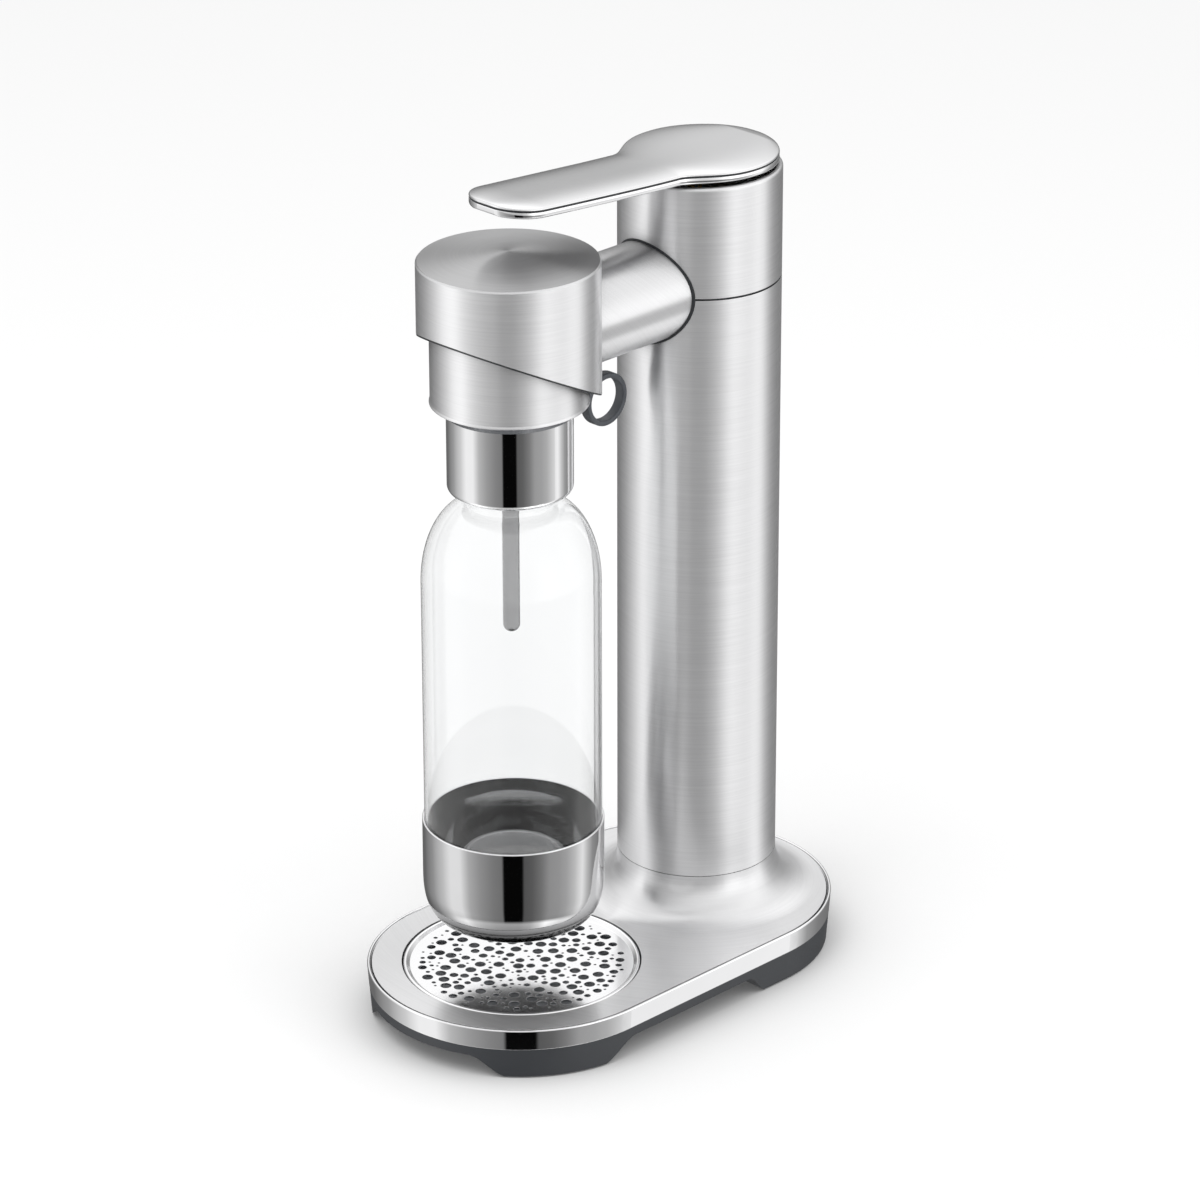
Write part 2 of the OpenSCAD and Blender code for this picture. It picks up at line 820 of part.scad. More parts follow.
function lever_half(y) =
    (disc_half(y) ^ blend_power + arm_width(y) ^ blend_power) ^ (1 / blend_power) - corner_cut(y);

// Rise of the lever's edge towards its tip
function lever_rise(y) = let (t = max(0, min(1, -(y + rise_from) / (lever_reach - rise_from))))
    tip_rise * (1 - (1 - t) ^ rise_share);

// Stations along the lever, closer together at both ends
function lever_y(k) = let (
    t = k / lever_stations,
    y0 = -lever_reach + lever_end_gap,
    y1 = disc_back + disc_r - lever_end_gap
) y0 + (y1 - y0) * ((1 - end_share) * t + end_share * ease(t));

// One section of the lever: over the top from left to right, then back along the underside
function lever_section(y, inset, z0, z1, crown, round_r) = let (
    half = lever_half(y) - inset,
    rise = lever_rise(y),
    swell = crown * min(1, half / arm_half),
    drop = min(round_r, half / 2),
    last = section_steps - 1
) concat(
    [for (i = [0:last]) let (s = -cos(180 * i / last))
        [half * s, column_y + y, rise + z1 + swell * (1 - s ^ 4)]],
    [for (i = [0:last]) let (s = cos(180 * i / last))
        [(half - drop * s ^ 8) * s, column_y + y, rise + z0 + drop * s ^ 8]]
);

// Faces that close one end of the lever, as pairs across its thickness
function section_cap(first, flip) = [for (i = [0:section_steps - 2], half = [0, 1]) let (
    top = first + i,
    low = first + 2 * section_steps - 1 - i,
    face = half == 0 ? [top, top + 1, low] : [top + 1, low - 1, low]
) flip ? [face[2], face[1], face[0]] : face];

module lever_loft(inset, z0, z1, crown, round_r) {
    sides = 2 * section_steps;
    polyhedron(
        points = [
            for (k = [0:lever_stations])
                each lever_section(lever_y(k), inset, z0, z1, crown, round_r)
        ],
        faces = concat(
            section_cap(0, false),
            tube_walls(lever_stations + 1, sides),
            section_cap(lever_stations * sides, true)
        )
    );
}

module lever_body() {
    color("gainsboro") lever_loft(body_in, band_z_disc, band_z_disc + band_h, 0, band_round);
}

module lever_gasket() {
    color("black") lever_loft(gasket_in, band_z_disc + band_h,
        band_z_disc + band_h + gasket_t, 0, 0);
}

module lever_skin() {
    color("silver") lever_loft(0, band_z_disc + band_h + gasket_t,
        band_z_disc + band_h + gasket_t + skin_edge, skin_crown, 0);
}

// A solid that fills the column or the head, used to trim the neck to its curved seats
module column_core() {
    on_column() translate([0, 0, neck_z - column_r]) cylinder(r = column_r - sheet, h = 2 * column_r);
}

module head_plug(r) {
    on_bottle() translate([0, 0, neck_z - column_r]) cylinder(r = r, h = 2 * column_r);
}

module neck_tube() {
    color("silver") difference() {
        translate([0, 0, neck_z]) bar_y(neck_r, bottle_y, column_y);
        translate([0, 0, neck_z]) bar_y(neck_r - sheet, bottle_y - over, column_y + over);
        head_plug(head_r);
        column_core();
    }
}

module neck_gasket() {
    color("dimgray") difference() {
        intersection() {
            translate([0, 0, neck_z]) bar_y(neck_r + neck_gasket_t, bottle_y + head_r, column_y);
            on_column() translate([0, 0, neck_z - column_r])
                cylinder(r = column_r + hairline, h = 2 * column_r);
        }
        translate([0, 0, neck_z]) bar_y(neck_r, bottle_y, column_y + over);
        on_column() translate([0, 0, neck_z - column_r - over])
            cylinder(r = column_r - neck_gasket_w, h = 2 * column_r + 2 * over);
    }
}

module head_arm() {
    inner = neck_r - sheet - arm_wall;
    color("lightslategray") difference() {
        translate([0, 0, neck_z]) bar_y(neck_r - sheet, bottle_y, column_y);
        translate([0, 0, neck_z]) bar_y(inner, bottle_y - over, column_y + over);
        translate([-pipe_slot, bottle_y, neck_z]) cube([2 * pipe_slot, column_y - bottle_y, neck_r]);
        head_plug(head_r - sheet);
        on_column() translate([0, 0, neck_z - column_r])
            cylinder(r = column_r - sheet - liner_gap - liner_t - seat_gap, h = 2 * column_r);
    }
}

// Everything above the head's slanted lower edge, lowered by a drop
module above_cut(drop) {
    on_bottle() translate([0, 0, neck_z - cut_drop - drop]) rotate([-cut_angle, 0, 0])
        translate([-2 * head_r, -2 * head_r, 0]) cube(4 * head_r);
}

module head_core() {
    outer = head_r - sheet;
    color("dimgray") difference() {
        intersection() {
            on_bottle() union() {
                translate([0, 0, core_z]) cylinder(r = outer, h = head_z - sheet - core_z);
                tube(outer, outer - head_liner_t, neck_z - 2 * head_r, core_z);
            }
            above_cut(-liner_drop);
        }
        neck_hole(neck_r - sheet - arm_wall);
        on_bottle() translate([0, 0, core_z - over]) cylinder(r = nozzle_r + seat_gap, h = head_rise);
        on_bottle() translate([0, 0, core_z - over])
            cylinder(r = nozzle_flange_r + seat_gap, h = nozzle_flange_t + over);
        translate([0, 0, pipe_z]) bar_y(pipe_r + seat_gap, bottle_y, column_y);
    }
}

module head_shell() {
    dome_r = (head_r ^ 2 + dome_rise ^ 2) / (2 * dome_rise);
    color("silver") difference() {
        intersection() {
            on_bottle() difference() {
                intersection() {
                    union() {
                        translate([0, 0, neck_z - 2 * head_r])
                            cylinder(r = head_r, h = head_z - neck_z + 2 * head_r - rim_chamfer);
                        translate([0, 0, head_z - rim_chamfer])
                            cylinder(r1 = head_r, r2 = head_r - rim_chamfer, h = rim_chamfer);
                        translate([0, 0, head_z]) cylinder(r = head_r - rim_chamfer, h = dome_rise);
                    }
                    translate([0, 0, head_z + dome_rise - dome_r]) sphere(r = dome_r, $fn = 200);
                }
                translate([0, 0, neck_z - 2 * head_r - over])
                    cylinder(r = head_r - sheet, h = head_z - sheet - neck_z + 2 * head_r + over);
            }
            above_cut(0);
        }
        neck_hole(neck_r - sheet);
    }
}

module gas_pipe() {
    color("goldenrod") translate([0, 0, pipe_z]) difference() {
        bar_y(pipe_r, bottle_y + nozzle_r, column_y - boss_out + pipe_seat);
        bar_y(pipe_r - pipe_wall, bottle_y, column_y);
    }
}

module pipe_nut() {
    color("goldenrod") translate([0, column_y - boss_out - nut_l, pipe_z]) rotate([-90, 0, 0])
        difference() {
            cylinder(r = nut_r, h = nut_l, $fn = 6);
            translate([0, 0, -over]) cylinder(r = pipe_r, h = nut_l + 2 * over);
        }
}

module gas_nozzle() {
    top = pipe_z + pipe_r + nozzle_tip_r;
    color("goldenrod") on_bottle() difference() {
        union() {
            translate([0, 0, core_z]) cylinder(r = nozzle_r, h = top - core_z);
            translate([0, 0, core_z]) cylinder(r = nozzle_flange_r, h = nozzle_flange_t);
            translate([0, 0, core_z - nozzle_l]) cylinder(r = nozzle_tip_r, h = nozzle_l);
        }
        translate([0, 0, core_z - nozzle_l - over])
            cylinder(r = gas_bore_r, h = pipe_z - core_z + nozzle_l + over);
        translate([0, 0, pipe_z]) bar_y(pipe_r - pipe_wall, 0, nozzle_r + over);
    }
}

module nozzle_seal() {
    color("black") on_bottle() translate([0, 0, core_z - nozzle_l / 2]) rotate_extrude()
        translate([nozzle_tip_r + ring_seal_t, 0]) circle(r = ring_seal_t);
}

module cap_core() {
    color("dimgray") difference() {
        on_bottle() union() {
            translate([0, 0, cap_z]) cylinder(r = cap_r - cap_sheet, h = cap_top - cap_sheet - cap_z);
            translate([0, 0, cap_z - bevel_h]) cylinder(r = bevel_r, h = bevel_h);
            translate([0, 0, cap_top - cap_sheet]) cylinder(r = core_top_r, h = cap_sheet);
        }
        on_bottle() translate([0, 0, cap_z - bevel_h - over])
            cylinder(r = neck_bore_r, h = seal_z - cap_z + bevel_h + over);
        on_bottle() translate([0, 0, core_z - nozzle_l - over])
            cylinder(r = nozzle_tip_r + 2 * ring_seal_t + hairline, h = nozzle_l + over);
        on_bottle() cylinder(r = wand_r, h = seal_z + wand_top);
        on_bottle() cylinder(r = wand_r - wand_wall, h = core_z);
        translate([0, release_y - stem_reach, stem_z - over])
            cylinder(r = release_stem_r + fit_gap, h = release_stem_l + loop_t);
    }
}

module cap_sleeve() {
    color("silver") on_bottle() {
        rotate_extrude() polygon([
            [cap_r - cap_sheet, cap_z], [cap_r + cap_lip, cap_z], [cap_r + cap_lip, cap_z + cap_lip],
            [cap_r, cap_z + 3 * cap_lip], [cap_r, cap_top - cap_sheet], [cap_r - cap_sheet, cap_top],
            [core_top_r, cap_top], [core_top_r, cap_top - cap_sheet],
            [cap_r - cap_sheet, cap_top - cap_sheet]
        ]);
    }
}

module cap_bevel() {
    color("dimgray") difference() {
        union() {
            on_bottle() rotate_extrude() polygon([
                [bevel_r, cap_z - bevel_h], [bevel_r + over, cap_z - bevel_h],
                [cap_r - ring_step, cap_z], [bevel_r, cap_z]
            ]);
            for (side = [-1, 1]) translate([side * (ear_half_gap + ear_w / 2), release_y, 0]) {
                translate([-ear_w / 2, -knuckle_r - knuckle_r / 2, release_z])
                    cube([ear_w, 2 * knuckle_r, cap_z - release_z]);
                translate([0, 0, release_z]) bar_x(knuckle_r, ear_w);
            }
        }
        translate([0, release_y, release_z]) bar_x(release_pin_r, base_w);
        translate([0, release_y - stem_reach, 0])
            cylinder(r = release_stem_r + fit_gap, h = column_h);
    }
}

module cap_collar() {
    color("gainsboro") on_bottle() rotate_extrude() difference() {
        translate([collar_r - collar_wall, collar_z]) square([collar_wall, collar_l]);
        translate([collar_r - collar_round, collar_z]) difference() {
            square(collar_round + over);
            translate([0, collar_round]) circle(r = collar_round);
            translate([0, collar_round]) square(collar_round + over);
        }
    }
}

module cap_gasket() {
    color("black") on_bottle() tube(neck_bore_r - seat_gap, wand_r + over, seal_z - cap_seal_t, seal_z);
}

module gas_wand() {
    tip_z = collar_z - wand_l;
    color("silver") on_bottle() difference() {
        union() {
            translate([0, 0, tip_z + wand_r])
                cylinder(r = wand_r, h = seal_z + wand_top - tip_z - wand_r);
            translate([0, 0, tip_z + wand_r]) sphere(r = wand_r);
        }
        translate([0, 0, tip_z + wand_r]) cylinder(r = wand_r - wand_wall, h = column_h);
        translate([0, 0, tip_z - over]) cylinder(r = wand_orifice, h = 2 * wand_r);
    }
}

module release_ring() {
    color("dimgray") difference() {
        union() {
            translate([0, release_y + loop_out, release_z - loop_down]) bar_x(loop_r, loop_w);
            translate([0, release_y, release_z]) bar_x(knuckle_r, 2 * tab_half);
            translate([-tab_half, release_y, release_z - knuckle_r])
                cube([2 * tab_half, loop_out - loop_r + loop_t, 2 * knuckle_r]);
            translate([0, release_y - stem_reach, release_z]) bar_x(toe_r, 2 * release_stem_r);
            translate([-release_stem_r, release_y - stem_reach, release_z - toe_r])
                cube([2 * release_stem_r, stem_reach, 2 * toe_r]);
        }
        translate([0, release_y + loop_out, release_z - loop_down]) bar_x(loop_r - loop_t, base_w);
        translate([0, release_y, release_z]) bar_x(release_pin_r + fit_gap, base_w);
    }
}

module release_pin() {
    color("silver") translate([0, release_y, release_z])
        bar_x(release_pin_r, 2 * (ear_half_gap + ear_w));
}

module release_stem() {
    color("goldenrod") translate([0, release_y - stem_reach, stem_z])
        cylinder(r = release_stem_r, h = release_stem_l);
}

// Outline of the bottle from its foot to its mouth, at an inset from its outer face
function bottle_outline(inset) = concat(
    [for (a = [0:15:90]) [
        bottle_r - foot_r + (foot_r - inset) * sin(a),
        cup_z + foot_lift + foot_r - (foot_r - inset) * cos(a)
    ]],
    [for (a = [0:10:80]) [
        neck_outer_r + (bottle_r - neck_outer_r) * cos(a) - inset * cos(a),
        shoulder_z + shoulder_h * sin(a) - inset * sin(a)
    ]],
    [[neck_outer_r - inset, shoulder_z + shoulder_h + neck_fillet - inset],
        [neck_outer_r - inset, mouth_z]]
);

module bottle_shell() {
    outer = bottle_outline(0);
    inner = bottle_outline(bottle_wall);
    color("aliceblue", 0.35) on_bottle() rotate_extrude() polygon(concat(
        [[0, cup_z + foot_lift + punt_rise - bottle_wall],
            [punt_r - bottle_wall, cup_z + foot_lift + punt_rise - bottle_wall]],
        outer,
        [for (i = [len(inner) - 1:-1:0]) inner[i]],
        [[punt_r, cup_z + foot_lift + punt_rise], [0, cup_z + foot_lift + punt_rise]]
    ));
}

module bottle_cup() {
    inner = bottle_r + seat_gap;
    color("gainsboro") on_bottle() rotate_extrude() polygon(concat(
        [[0, cup_z]],
        [for (a = [0:10:90]) [
            inner + cup_wall_t - cup_round + cup_round * sin(a),
            cup_z + cup_round - cup_round * cos(a)
        ]],
        [[inner + cup_wall_t, cup_z + cup_h - cup_lip], [inner + cup_wall_t - cup_lip / 2, cup_z + cup_h],
            [inner, cup_z + cup_h]],
        [for (a = [90:-10:0]) [
            inner - foot_r + foot_r * sin(a),
            cup_z + foot_lift + foot_r - foot_r * cos(a)
        ]],
        [[0, cup_z + foot_lift]]
    ));
}

base_pan();
rubber_feet();
base_screws();
base_rim();
base_frame();
base_top_plate();
drip_cup();
drip_plate();
column_frame();
column_shell();
rear_cover();
column_seam_ring();
column_top();
cylinder_pad();
cylinder_body();
cylinder_valve();
valve_bracket();
valve_body();
valve_seal();
safety_valve();
push_rod();
rod_spring();
rocker();
rocker_pin();
lever_pin();
pin_clips();
lever_hub();
lever_body();
lever_gasket();
lever_skin();
neck_tube();
neck_gasket();
head_arm();
head_core();
head_shell();
gas_pipe();
pipe_nut();
gas_nozzle();
nozzle_seal();
cap_core();
cap_sleeve();
cap_bevel();
cap_collar();
cap_gasket();
gas_wand();
release_ring();
release_pin();
release_stem();
bottle_shell();
bottle_cup();
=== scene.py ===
"""Looks for the sparkling water maker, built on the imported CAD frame. Metres, front towards -Y."""
import math

import bmesh
import bpy
from mathutils import Matrix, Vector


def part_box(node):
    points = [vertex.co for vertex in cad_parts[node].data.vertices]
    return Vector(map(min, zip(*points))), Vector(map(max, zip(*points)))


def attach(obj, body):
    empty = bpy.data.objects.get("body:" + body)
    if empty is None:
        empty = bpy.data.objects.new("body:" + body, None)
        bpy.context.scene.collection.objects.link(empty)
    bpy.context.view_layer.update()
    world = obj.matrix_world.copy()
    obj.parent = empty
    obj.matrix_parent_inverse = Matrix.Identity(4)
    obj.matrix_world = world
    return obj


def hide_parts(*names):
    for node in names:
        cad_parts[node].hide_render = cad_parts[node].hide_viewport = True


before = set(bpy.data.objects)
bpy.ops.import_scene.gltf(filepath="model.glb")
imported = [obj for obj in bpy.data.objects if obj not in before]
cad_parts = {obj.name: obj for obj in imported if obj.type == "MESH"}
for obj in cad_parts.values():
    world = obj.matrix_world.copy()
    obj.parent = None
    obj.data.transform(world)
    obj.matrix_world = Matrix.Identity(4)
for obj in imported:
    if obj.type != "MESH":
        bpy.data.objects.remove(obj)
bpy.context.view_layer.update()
MM = 0.001


def middle(node):
    """Place in plan of a round node's axis."""
    low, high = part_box(node)
    return ((low[0] + high[0]) / 2, (low[1] + high[1]) / 2)


BOTTLE_AXIS = middle("cap_collar")
COLUMN_AXIS = middle("column_top")


# Camera, fitted to the photograph

CAMERA_PLACE = (1.68894, -1.69814, 1.25153)
CAMERA_AZIMUTH = math.radians(44.861)
CAMERA_ELEVATION = math.radians(23.758)
CAMERA_ROLL = math.radians(-0.116)
CAMERA_LENS = 165.0
CAMERA_SENSOR = 36.0


def make_camera():
    data = bpy.data.cameras.new("camera")
    data.lens = CAMERA_LENS
    data.sensor_width = CAMERA_SENSOR
    data.clip_start = 0.1
    data.clip_end = 30
    camera = bpy.data.objects.new("camera", data)
    bpy.context.scene.collection.objects.link(camera)
    camera.matrix_world = (
        Matrix.Translation(CAMERA_PLACE)
        @ Matrix.Rotation(CAMERA_AZIMUTH, 4, "Z")
        @ Matrix.Rotation(math.pi / 2 - CAMERA_ELEVATION, 4, "X")
        @ Matrix.Rotation(CAMERA_ROLL, 4, "Z")
    )
    bpy.context.scene.camera = camera


make_camera()


# Node helpers

def mirror_ray(tree):
    """1 for rays that metal reflects, 0 for those that the clear bottle bends."""
    path = tree.nodes.new("ShaderNodeLightPath")
    only = tree.nodes.new("ShaderNodeMath")
    only.operation = "SUBTRACT"
    only.use_clamp = True
    tree.links.new(path.outputs["Is Glossy Ray"], only.inputs[0])
    tree.links.new(path.outputs["Is Transmission Ray"], only.inputs[1])
    return only.outputs["Value"]


class Nodes:
    """A short way to build one material's nodes."""

    def __init__(self, name):
        self.material = bpy.data.materials.new(name)
        self.material.use_nodes = True
        self.tree = self.material.node_tree
        self.shader = self.tree.nodes["Principled BSDF"]

    def add(self, kind, **values):
        node = self.tree.nodes.new(kind)
        for key, value in values.items():
            if key in node.inputs:
                node.inputs[key].default_value = value
            else:
                setattr(node, key, value)
        return node

    def link(self, start, end):
        self.tree.links.new(start, end)

    def set(self, **values):
        for key, value in values.items():
            self.shader.inputs[key.replace("_", " ")].default_value = value

    def place(self, scale):
        """Object coordinates, stretched by a scale along each axis."""
        coordinates = self.add("ShaderNodeTexCoord")
        stretch = self.add("ShaderNodeMapping")
        stretch.inputs["Scale"].default_value = scale
        self.link(coordinates.outputs["Object"], stretch.inputs["Vector"])
        return stretch.outputs["Vector"]

    def noise(self, scale, detail=3.0, rough=0.6):
        noise = self.add("ShaderNodeTexNoise", Scale=1.0, Detail=detail, Roughness=rough)
        self.link(self.place(scale), noise.inputs["Vector"])
        return noise.outputs["Fac"]

    def spread(self, value, low, high, start=0.3, end=0.7):
        """Maps a noise value from its usual span to a wanted one."""
        span = self.add("ShaderNodeMapRange")
        for key, number in (("From Min", start), ("From Max", end), ("To Min", low), ("To Max", high)):
            span.inputs[key].default_value = number
        self.link(value, span.inputs["Value"])
        return span.outputs["Result"]

    def tint(self, value, dark, light):
        """Colour between two tones, chosen by a value."""
        mix = self.add("ShaderNodeMix", data_type="RGBA")
        mix.inputs["A"].default_value = (*dark, 1)
        mix.inputs["B"].default_value = (*light, 1)
        self.link(value, mix.inputs["Factor"])
        self.link(mix.outputs["Result"], self.shader.inputs["Base Color"])
        return mix.outputs["Result"]

    def darken(self, colour, level):
        """A colour multiplied by a level."""
        mix = self.add("ShaderNodeMix", data_type="RGBA", blend_type="MULTIPLY")
        mix.inputs["Factor"].default_value = 1.0
        self.link(colour, mix.inputs["A"])
        self.link(level, mix.inputs["B"])
        return mix.outputs["Result"]

    def bump(self, value, height, strength=1.0, rounding=None):
        """Fine relief from a value, over edges that look rounded where a radius is given."""
        bump = self.add("ShaderNodeBump", Strength=strength, Distance=height)
        self.link(value, bump.inputs["Height"])
        if rounding:
            edge = self.add("ShaderNodeBevel", samples=6, Radius=rounding)
            self.link(edge.outputs["Normal"], bump.inputs["Normal"])
        self.link(bump.outputs["Normal"], self.shader.inputs["Normal"])


# Metal and plastic finishes

COOL = 1.008
# Levels of the painted shade on metals: the occlusion span for shade near other pieces, and the facing spans
# and level for shade on faces that look up or down.
CLOSED = 0.25
OPEN = 0.88
LOOKS_UP = (0.6, 0.95)
LOOKS_DOWN = (-0.06, -0.5)
UNDERSIDE = 0.10
BRUSH_SCALE = (24, 24, 1300)
FINE_RELIEF = 0.003 * MM


def grey(level):
    """A grey with the slightest blue."""
    return (level, level, level * COOL)


def shade_near(n, colour, reach, darkest):
    """Painted shade: darkens a metal's colour where other pieces stand close, as in a slit or under an edge.
    """
    near = n.add("ShaderNodeAmbientOcclusion", samples=6, Distance=reach)
    level = n.spread(near.outputs["AO"], darkest, 1.0, CLOSED, OPEN)
    n.link(n.darken(colour, level), n.shader.inputs["Base Color"])


def shade_facing(n, colour, share, span):
    """Painted shade: darkens a metal's colour on faces whose normal's height goes through a span, up or down.
    """
    facing = n.add("ShaderNodeNewGeometry")
    parts = n.add("ShaderNodeSeparateXYZ")
    n.link(facing.outputs["Normal"], parts.inputs["Vector"])
    return n.darken(colour, n.spread(parts.outputs["Z"], 1.0, share, *span))


def brush_lines(n, axis, around):
    """Noise drawn out round an axis, so that it runs in rings on walls and on flat ends."""
    coordinates = n.add("ShaderNodeTexCoord")
    centred = n.add("ShaderNodeMapping")
    centred.inputs["Location"].default_value = (-axis[0], -axis[1], 0)
    n.link(coordinates.outputs["Object"], centred.inputs["Vector"])
    parts = n.add("ShaderNodeSeparateXYZ")
    n.link(centred.outputs["Vector"], parts.inputs["Vector"])
    along, first, second = ("Z", "X", "Y") if around == "Z" else ("Y", "X", "Z")
    plan = n.add("ShaderNodeCombineXYZ")
    n.link(parts.outputs[first], plan.inputs["X"])
    n.link(parts.outputs[second], plan.inputs["Y"])
    radius = n.add("ShaderNodeVectorMath", operation="LENGTH")
    n.link(plan.outputs["Vector"], radius.inputs[0])
    step = n.add("ShaderNodeMath", operation="ADD")
    n.link(radius.outputs["Value"], step.inputs[0])
    n.link(parts.outputs[along], step.inputs[1])
    lined = n.add("ShaderNodeCombineXYZ")
    n.link(parts.outputs[first], lined.inputs["X"])
    n.link(parts.outputs[second], lined.inputs["Y"])
    n.link(step.outputs["Value"], lined.inputs["Z"])
    stretch = n.add("ShaderNodeMapping")
    stretch.inputs["Scale"].default_value = BRUSH_SCALE
    n.link(lined.outputs["Vector"], stretch.inputs["Vector"])
    lines = n.add("ShaderNodeTexNoise", Scale=1.0, Detail=3.0, Roughness=0.6)
    n.link(stretch.outputs["Vector"], lines.inputs["Vector"])
    return lines.outputs["Fac"]


def brushed(name, axis, tone=0.86, rough=0.36, around="Z", reach=9 * MM, darkest=0.3, top=1.0):
    """Stainless steel with fine brush lines round an axis, with painted shade near other pieces and, where
    top is below 1, on faces that look up.
    """
    n = Nodes(name)
    fine = brush_lines(n, axis, around)
    n.set(Metallic=1.0, Anisotropic=0.9, Anisotropic_Rotation=0.25)
    mix = n.tint(n.spread(fine, 0, 1), grey(tone * 0.955), grey(tone * 1.03))
    # Painted shade: upward faces darkened where top is below 1, then darkening near other pieces.
    if top < 1:
        mix = shade_facing(n, mix, top, LOOKS_UP)
    shade_near(n, mix, reach, darkest)
    n.link(n.spread(fine, rough - 0.015, rough + 0.015), n.shader.inputs["Roughness"])
    n.bump(fine, FINE_RELIEF, 0.15, rounding=0.3 * MM)
    tangent = n.add("ShaderNodeTangent", direction_type="RADIAL", axis=around)
    n.link(tangent.outputs["Tangent"], n.shader.inputs["Tangent"])
    return n.material


def satin(name, tone, rough):
    """Bead-blasted steel: an even, fine grain."""
    n = Nodes(name)
    grain = n.noise((2200, 2200, 2200), 2.0)
    cloud = n.noise((30, 30, 30), 3.0)
    n.set(Metallic=1.0)
    n.tint(n.spread(grain, 0, 1), grey(tone * 0.97), grey(tone * 1.02))
    n.link(n.spread(cloud, rough - 0.01, rough + 0.01), n.shader.inputs["Roughness"])
    n.bump(grain, FINE_RELIEF, 0.2)
    return n.material


def polished(name, tone=0.88, rough=0.035, reach=0, darkest=1.0):
    """Mirror finish with a faint haze; where a reach is given, painted shade darkens its underside and where
    other pieces stand close.
    """
    n = Nodes(name)
    haze = n.noise((60, 60, 60), 4.0)
    n.set(Metallic=1.0)
    mix = n.tint(n.spread(haze, 0, 1), grey(tone * 0.98), grey(tone))
    # Painted shade on the underside and near other pieces, where a reach is given.
    if reach:
        shade_near(n, shade_facing(n, mix, UNDERSIDE, LOOKS_DOWN), reach, darkest)
    n.link(n.spread(haze, rough * 0.7, rough * 1.5), n.shader.inputs["Roughness"])
    n.bump(haze, 0.002 * MM, 0.1, rounding=0.25 * MM)
    return n.material


def moulded(name, colour, rough=0.42, grain=0.012 * MM):
    """Dark moulded plastic with a fine spark-eroded grain."""
    n = Nodes(name)
    pores = n.noise((1500, 1500, 1500), 3.0)
    cloud = n.noise((40, 40, 40), 3.0)
    n.tint(n.spread(cloud, 0, 1), [c * 0.93 for c in colour], [c * 1.05 for c in colour])
    n.link(n.spread(pores, rough - 0.05, rough + 0.06), n.shader.inputs["Roughness"])
    n.bump(pores, grain, 0.4, 0.5 * MM)
    return n.material


def plain_metal(name, colour, rough):
    """Machined or plated metal of the hidden works."""
    n = Nodes(name)
    marks = n.noise((300, 300, 900), 3.0)
    n.set(Metallic=1.0)
    n.tint(n.spread(marks, 0, 1), [c * 0.88 for c in colour], [min(1, c * 1.06) for c in colour])
    n.link(n.spread(marks, rough - 0.05, rough + 0.08), n.shader.inputs["Roughness"])
    n.bump(marks, 0.01 * MM, 0.3, 0.2 * MM)
    return n.material


def painted(name, colour):
    """Sprayed paint with a slight orange peel."""
    n = Nodes(name)
    peel = n.noise((500, 500, 500), 2.0)
    n.tint(n.spread(peel, 0, 1), [c * 0.96 for c in colour], colour)
    n.set(Roughness=0.32, Coat_Weight=0.4, Coat_Roughness=0.15)
    n.bump(peel, 0.01 * MM, 0.3)
    return n.material


def clear(name):
    """Clear bottle plastic: a real wall that bends light, and lets the lamps through."""
    n = Nodes(name)
    swirl = n.noise((40, 40, 12), 2.0)
    n.set(Roughness=0.0, IOR=1.47, Transmission_Weight=1.0)
    n.tint(n.spread(swirl, 0, 1), (0.985, 0.99, 0.992), (0.995, 0.998, 1.0))
    open_air = n.add("ShaderNodeBsdfTransparent", Color=(0.96, 0.965, 0.97, 1))
    path = n.add("ShaderNodeLightPath")
    choice = n.add("ShaderNodeMixShader")
    n.link(path.outputs["Is Shadow Ray"], choice.inputs["Fac"])
    n.link(n.shader.outputs["BSDF"], choice.inputs[1])
    n.link(open_air.outputs["BSDF"], choice.inputs[2])
    n.link(choice.outputs["Shader"], n.tree.nodes["Material Output"].inputs["Surface"])
    return n.material


MATERIALS = {
    "brushed_column": brushed("brushed steel of the column", COLUMN_AXIS),
    # Painted shade: the head's steel darkens on faces that look up, and the neck's steel darkens strongly
    # near other pieces, as under the lever.
    "brushed_head": brushed("brushed steel of the head", BOTTLE_AXIS, top=0.6),
    "brushed_neck": brushed("brushed steel of the neck", (0, 0), around="Y", reach=40 * MM, darkest=0.1),
    "brushed_plate": brushed("brushed steel of the base", COLUMN_AXIS, 0.79, 0.33),
    "satin": satin("satin steel", 0.80, 0.26),
    "tray": polished("tray steel", 0.95, 0.14),
    "chrome": polished("chrome"),
    # Painted shade: the wand's chrome is a darker copy of the chrome, standing in for the dark surroundings
    # it reflects.
    "wand": polished("chrome of the wand", 0.36, 0.05),
    # The foot cup's chrome is darker than the chrome, with painted shade on its underside and where other
    # pieces stand close.
    "chrome_with_painted_shade": polished("chrome of the foot cup", 0.74, 0.045, reach=60 * MM, darkest=0.1),
    "graphite": moulded("graphite plastic", (0.060, 0.066, 0.076)),
    "pan": moulded("graphite pan", (0.030, 0.033, 0.038)),
    "cup_grey": moulded("grey cup", (0.31, 0.32, 0.34)),
    "black": moulded("black plastic", (0.02, 0.022, 0.025)),
    "rubber": moulded("rubber", (0.022, 0.023, 0.025), 0.75, 0.02 * MM),
    "zinc": plain_metal("zinc plated steel", (0.60, 0.61, 0.62), 0.35),
    "cast": plain_metal("cast aluminium", (0.60, 0.61, 0.63), 0.45),
    "brass": plain_metal("brass", (0.74, 0.56, 0.27), 0.28),
    "cylinder": painted("cylinder paint", (0.55, 0.60, 0.66)),
    "clear": clear("clear bottle"),
}

